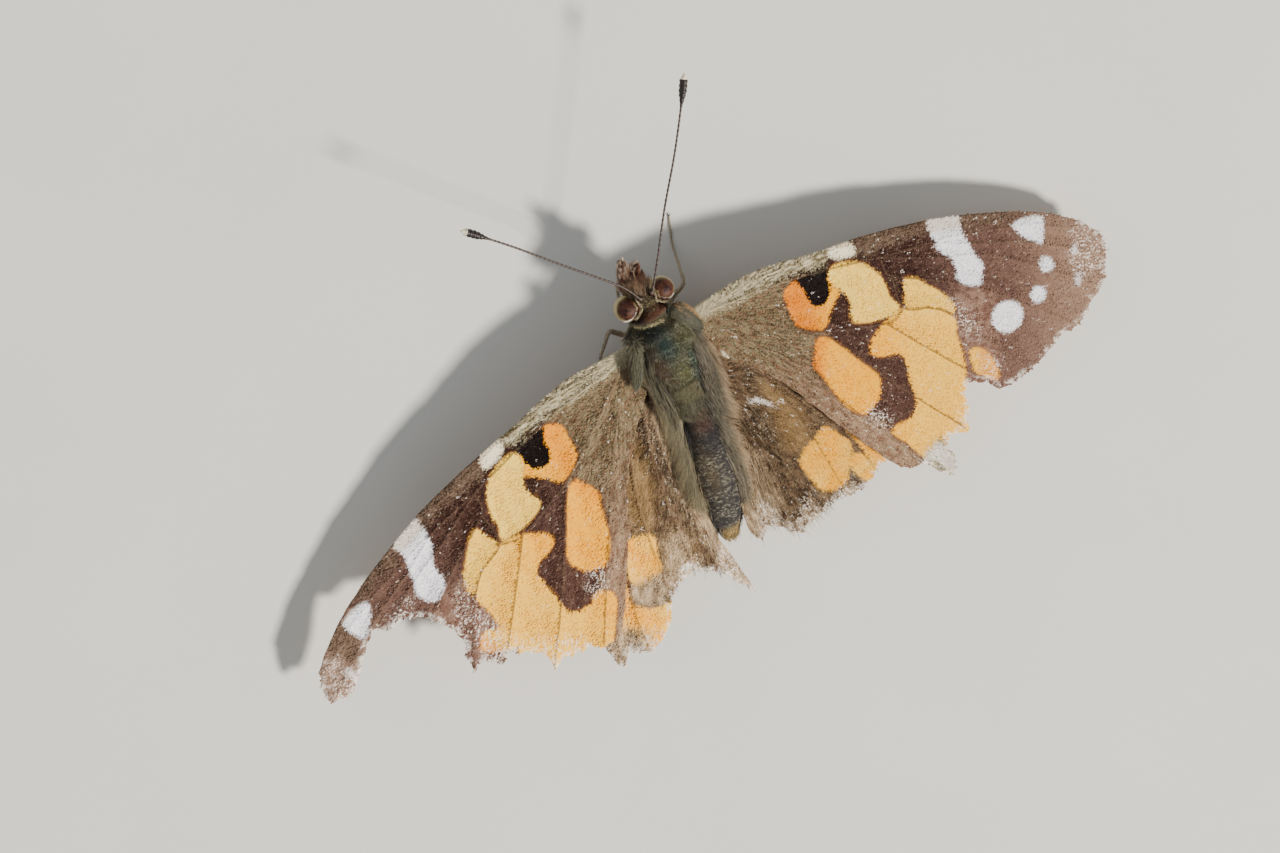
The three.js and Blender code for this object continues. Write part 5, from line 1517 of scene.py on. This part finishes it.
def build_tongue(material):
    """The tongue, coiled under the head with its thin end in the middle."""
    steps = np.linspace(0, 1, 30)
    turn = math.pi * 0.92 - TURN * TONGUE_TURNS * steps
    radius = 0.82 - 0.66 * steps
    coil_y = TONGUE_COIL_Y + radius * np.cos(turn)
    coil_z = TONGUE_COIL_Z + radius * np.sin(turn)
    route = np.vstack([[TONGUE_ROOT], np.stack([0 * steps, coil_y, coil_z], axis=1)])
    points, triangles, along = tube(route, lambda t: 0.17 - 0.08 * t, step=0.06, sides=12, guide=(1, 0, 0))
    tone = srgb((72, 46, 30)) * (0.85 + 0.3 * np.sin(along * 180))[:, None]
    make_piece("tongue_coil", "horn", points, triangles, [material], toned(points, tone),
               replaced=["proboscis"])


# Legs

FOOT_Z = -FLOOR_DROP + 0.11
LEG_RADII = [0.3, 0.27, 0.25, 0.2, 0.16, 0.14, 0.12, 0.1, 0.09, 0.06]
FORELEG = np.array([[0.8, 1.7, -1.9], [0.95, 1.95, -2.9], [0.9, 2.7, -3.05], [0.8, 3.4, -2.75],
                    [0.72, 3.9, -2.3]])
HINDLEG = np.array([[0.9, -2.9, -3.1], [1.6, -3.7, -4.25], [3.0, -5.0, -4.1], [4.0, -6.0, -3.7],
                    [4.6, -7.3, -4.6], [5.0, -8.4, -5.35], [5.25, -9.2, FOOT_Z], [5.55, -10.2, FOOT_Z],
                    [5.85, -11.1, FOOT_Z]])
MIDLEG = {
    1: [[0.9, -0.8, -3.2], [1.6, -0.3, -4.2], [2.7, 0.5, -3.9], [3.55, 1.1, -3.45], [4.05, 1.9, -4.5],
        [4.35, 2.5, -5.35], [4.6, 3.1, FOOT_Z], [4.9, 4.0, FOOT_Z], [5.2, 4.85, FOOT_Z]],
    -1: [[-0.9, -0.8, -3.2], [-1.5, -0.2, -4.1], [-2.1, 0.5, -3.6], [-2.5, 0.85, -3.2], [-2.95, -0.1, -4.1],
         [-3.35, -1.2, -5.2], [-3.65, -2.1, FOOT_Z], [-3.95, -3.0, FOOT_Z], [-4.25, -3.85, FOOT_Z]],
}
# Each kind of leg: its size, 1 for the hindleg, and its route on either side
LEGS = [
    ("foreleg", 0.8, {side: FORELEG * [side, 1, 1] for _, side in SIDES}),
    ("midleg", 0.75, {side: np.array(MIDLEG[side]) for _, side in SIDES}),
    ("hindleg", 1.0, {side: HINDLEG * [side, 1, 1] for _, side in SIDES}),
]


def claw_bodies(line):
    """The two claws at the end of a foot."""
    heading = unit(line[-1] - line[-2])
    for turn in (-0.5, 0.5):
        way = heading + np.array([-heading[1], heading[0], 0]) * turn
        claw = [line[-1], line[-1] + way * 0.13 + [0, 0, 0.03], line[-1] + way * 0.22 - [0, 0, 0.07]]
        points, triangles, _ = tube(claw, lambda t: 0.045 * (1 - 0.8 * t), step=0.04, sides=6)
        yield points, triangles, toned(points, srgb((46, 30, 22)))


def build_legs(material):
    rng = np.random.default_rng(66)
    count = 420
    for kind, size, routes in LEGS:
        def radius(place):
            girth = np.interp(place, np.linspace(0, 1, len(LEG_RADII)), LEG_RADII)
            return size * girth * (1 + 0.1 * smoothstep(0.6, 0.7, place) * np.cos(place * 95))

        for suffix, side in SIDES:
            line = routes[side]
            points, triangles, _ = tube(line, radius, sides=12)
            points[:, 2] = np.maximum(points[:, 2], -FLOOR_DROP)
            bodies = [(points, triangles, toned(points, srgb((146, 134, 114))))]
            if kind != "foreleg":
                bodies += claw_bodies(line)
            points, triangles, layers = joined(bodies)
            make_piece(f"{kind}_limb_{suffix}", "leg", points, triangles, [material], layers,
                       replaced=[f"{kind}_{suffix}"])
            place = rng.uniform(0.04, 0.97, count)
            turn = rng.uniform(0, TURN, count)
            middles, ahead, outward = around_route(spline(line, ROUTE_STEP), place, turn)
            roots = middles + outward * (radius(place) * 0.92)[:, None]
            forward = unit(ahead + outward * rng.uniform(0.15, 0.5, (count, 1)))
            length = rng.uniform(0.18, 0.34, count) * (1 - 0.4 * place)
            tone = srgb((142, 128, 104)) * rng.uniform(0.6, 1.2, (count, 1))
            clear = roots[:, 2] + forward[:, 2] * length > -FLOOR_DROP + 0.03
            hair = [roots, forward, outward, length, rng.uniform(0.035, 0.06, count), tone,
                    np.stack([turn / TURN, place], axis=1)]
            hair = [*(part[clear] for part in hair), {"sink": 0.03}]
            coat(f"{kind}_coat_{suffix}", "leg", [hair], material)


# Tegulae, the flaps over the hinges

TEGULAE = {
    "left": {"centre": (-2.6, -0.3, 0.78), "radii": (0.4, 1.45, 0.26), "slant": 0.36, "length": (0.5, 1.1),
             "inner": (88, 88, 68), "outer": (76, 66, 48)},
    "right": {"centre": (1.82, 0.6, 0.62), "radii": (0.68, 1.35, 0.32), "slant": 0.46, "length": (0.3, 0.6),
              "inner": (66, 64, 46), "outer": (138, 108, 74)},
}


def build_tegulae(material):
    rng = np.random.default_rng(77)
    count = 2200
    for suffix, side in SIDES:
        flap = TEGULAE[suffix]
        inner, outer = srgb(flap["inner"]), srgb(flap["outer"])
        rearward = unit(np.array([side * flap["slant"], -1.0, -0.05]))
        outward = unit(np.cross(-rearward, [0, 0, side]))
        axes = np.stack([outward, -rearward, np.cross(rearward, outward) * side])
        axes[2] *= np.sign(axes[2, 2])
        radii = np.array(flap["radii"])
        way = ball_ways(np.linspace(0.02, math.pi - 0.02, 18), 30)[..., [1, 0, 2]]
        points, triangles = loft(flap["centre"] + (way * radii) @ axes)
        # The shell is painted at 0.8 of its tone: painted shade under its hair
        layers = toned(points, inner, 0.8)
        make_piece(f"tegula_shell_{suffix}", "fur", points, triangles, [material], layers,
                   replaced=[f"tegula_{suffix}"])
        way = unit(rng.normal(size=(count, 3)))
        way[:, 2] = np.abs(way[:, 2])
        roots = flap["centre"] + (way * radii) @ axes
        normal = unit((way / radii) @ axes)
        along = rearward - normal * (normal @ rearward)[:, None]
        forward = unit(along + 0.2 * normal + rng.normal(0, 0.06, (count, 3)))
        outness = way[:, 0] + 0.35 * way[:, 1] + 0.3 * np.sin(9 * way[:, 0]) + rng.normal(0, 0.15, count)
        share = smoothstep(0.5, 1.0, outness)[:, None]
        tone = (outer * share + inner * (1 - share)) * rng.uniform(0.8, 1.15, (count, 1))
        length = rng.uniform(*flap["length"], count)
        thick = rng.uniform(*HAIR_WIDTHS, count)
        hair = [roots, forward, normal, length, thick, tone, way[:, :2] * 0.45 + 0.5,
                {"bend": np.tile([0, 0, -0.12], (count, 1)), "rings": 3}]
        coat(f"tegula_coat_{suffix}", "fur", [hair], material)


# Stage, light and camera

CAMERA_ELEVATION = math.radians(65.66)
CAMERA_AZIMUTH = math.radians(117.26)
CAMERA_ROLL = math.radians(124.6)
CAMERA_SHIFT = (-1.49, -6.061)
CAMERA_DISTANCE = 1000.0
CAMERA_LENS = 422.7
SENSOR_WIDTH = 36.0
FLOOR_HALF_WIDTH = 2.5
SKY_COLOUR = (0.92, 0.96, 1.0, 1)
SKY_STRENGTH = 0.42


def linked(name, data):
    """A new object of the scene, not on the butterfly."""
    item = bpy.data.objects.new(name, data)
    bpy.context.scene.collection.objects.link(item)
    return item


def build_camera():
    """The photo's view, fitted to the marks of both forewings."""
    level_x, level_y = math.cos(CAMERA_AZIMUTH), math.sin(CAMERA_AZIMUTH)
    flat = math.cos(CAMERA_ELEVATION)
    back = np.array([flat * level_x, flat * level_y, math.sin(CAMERA_ELEVATION)])
    level = np.array([-level_y, level_x, 0])
    upright = np.cross(back, level)
    right = math.cos(CAMERA_ROLL) * level + math.sin(CAMERA_ROLL) * upright
    up = math.cos(CAMERA_ROLL) * upright - math.sin(CAMERA_ROLL) * level
    place = CAMERA_SHIFT[0] * right + CAMERA_SHIFT[1] * up + CAMERA_DISTANCE * back
    data = bpy.data.cameras.new("photo_camera")
    data.sensor_width = SENSOR_WIDTH
    data.lens = CAMERA_LENS
    camera = linked("photo_camera", data)
    camera.matrix_world = Matrix.Translation(to_world(place)) @ Matrix(np.stack([right, up, back], 1)).to_4x4()
    bpy.context.scene.camera = camera


def build_light(name, direction, distance, size, power, colour):
    data = bpy.data.lights.new(name, "AREA")
    data.size = size
    data.energy = power
    data.color = colour
    light = linked(name, data)
    way = Vector(direction).normalized()
    light.location = way * distance
    light.rotation_euler = way.to_track_quat("Z", "Y").to_euler()


def build_stage():
    finish = Finish("pale_floor", roughness=0.9, specular=0.1)
    cloud = finish.noise(finish.node("ShaderNodeTexCoord", {}, "Object"), 60.0, 3.0)
    finish.finish(finish.mix(cloud, (206, 204, 198), (214, 212, 206)), cloud, strength=0.05, distance=0.2)
    mesh = bpy.data.meshes.new("floor")
    half = FLOOR_HALF_WIDTH
    corners = [(-half, -half, 0), (half, -half, 0), (half, half, 0), (-half, half, 0)]
    mesh.from_pydata(corners, [], [(0, 1, 2, 3)])
    mesh.materials.append(finish.material)
    linked("floor", mesh)
    world = bpy.data.worlds.new("studio")
    world.use_nodes = True
    sky = world.node_tree.nodes["Background"]
    sky.inputs["Color"].default_value = SKY_COLOUR
    sky.inputs["Strength"].default_value = SKY_STRENGTH
    bpy.context.scene.world = world
    build_light("key", (0.35, -0.6, 0.85), 1.2, 0.16, 29.5, (1.0, 0.95, 0.87))
    build_light("fill", (-0.6, 0.7, 0.7), 1.4, 0.9, 4.0, (0.9, 0.95, 1.0))


build_camera()
build_stage()
fur = tone_finish("fur_hair", roughness=0.55, sheen=0.06, specular=0.25)
glossy = tone_finish("thorax_hair", roughness=0.42, sheen=0.0, specular=0.45, contrast=0.25)
skin = tone_finish("body_cuticle", roughness=0.8, sheen=0.0, specular=0.15, contrast=0.5)
horn = tone_finish("horn", roughness=0.45, sheen=0.0, specular=0.4, grain_scale=14.0, contrast=0.25)
limb = tone_finish("leg_scales", roughness=0.7, sheen=0.05, grain_scale=12.0, contrast=0.4)
build_wings()
build_skin(skin)
build_body_coats(fur, glossy)
build_side_hair(fur)
build_tegulae(fur)
build_eyes(eye_finish(), fur)
build_palps(fur)
build_antennae(horn)
build_tongue(horn)
build_legs(limb)
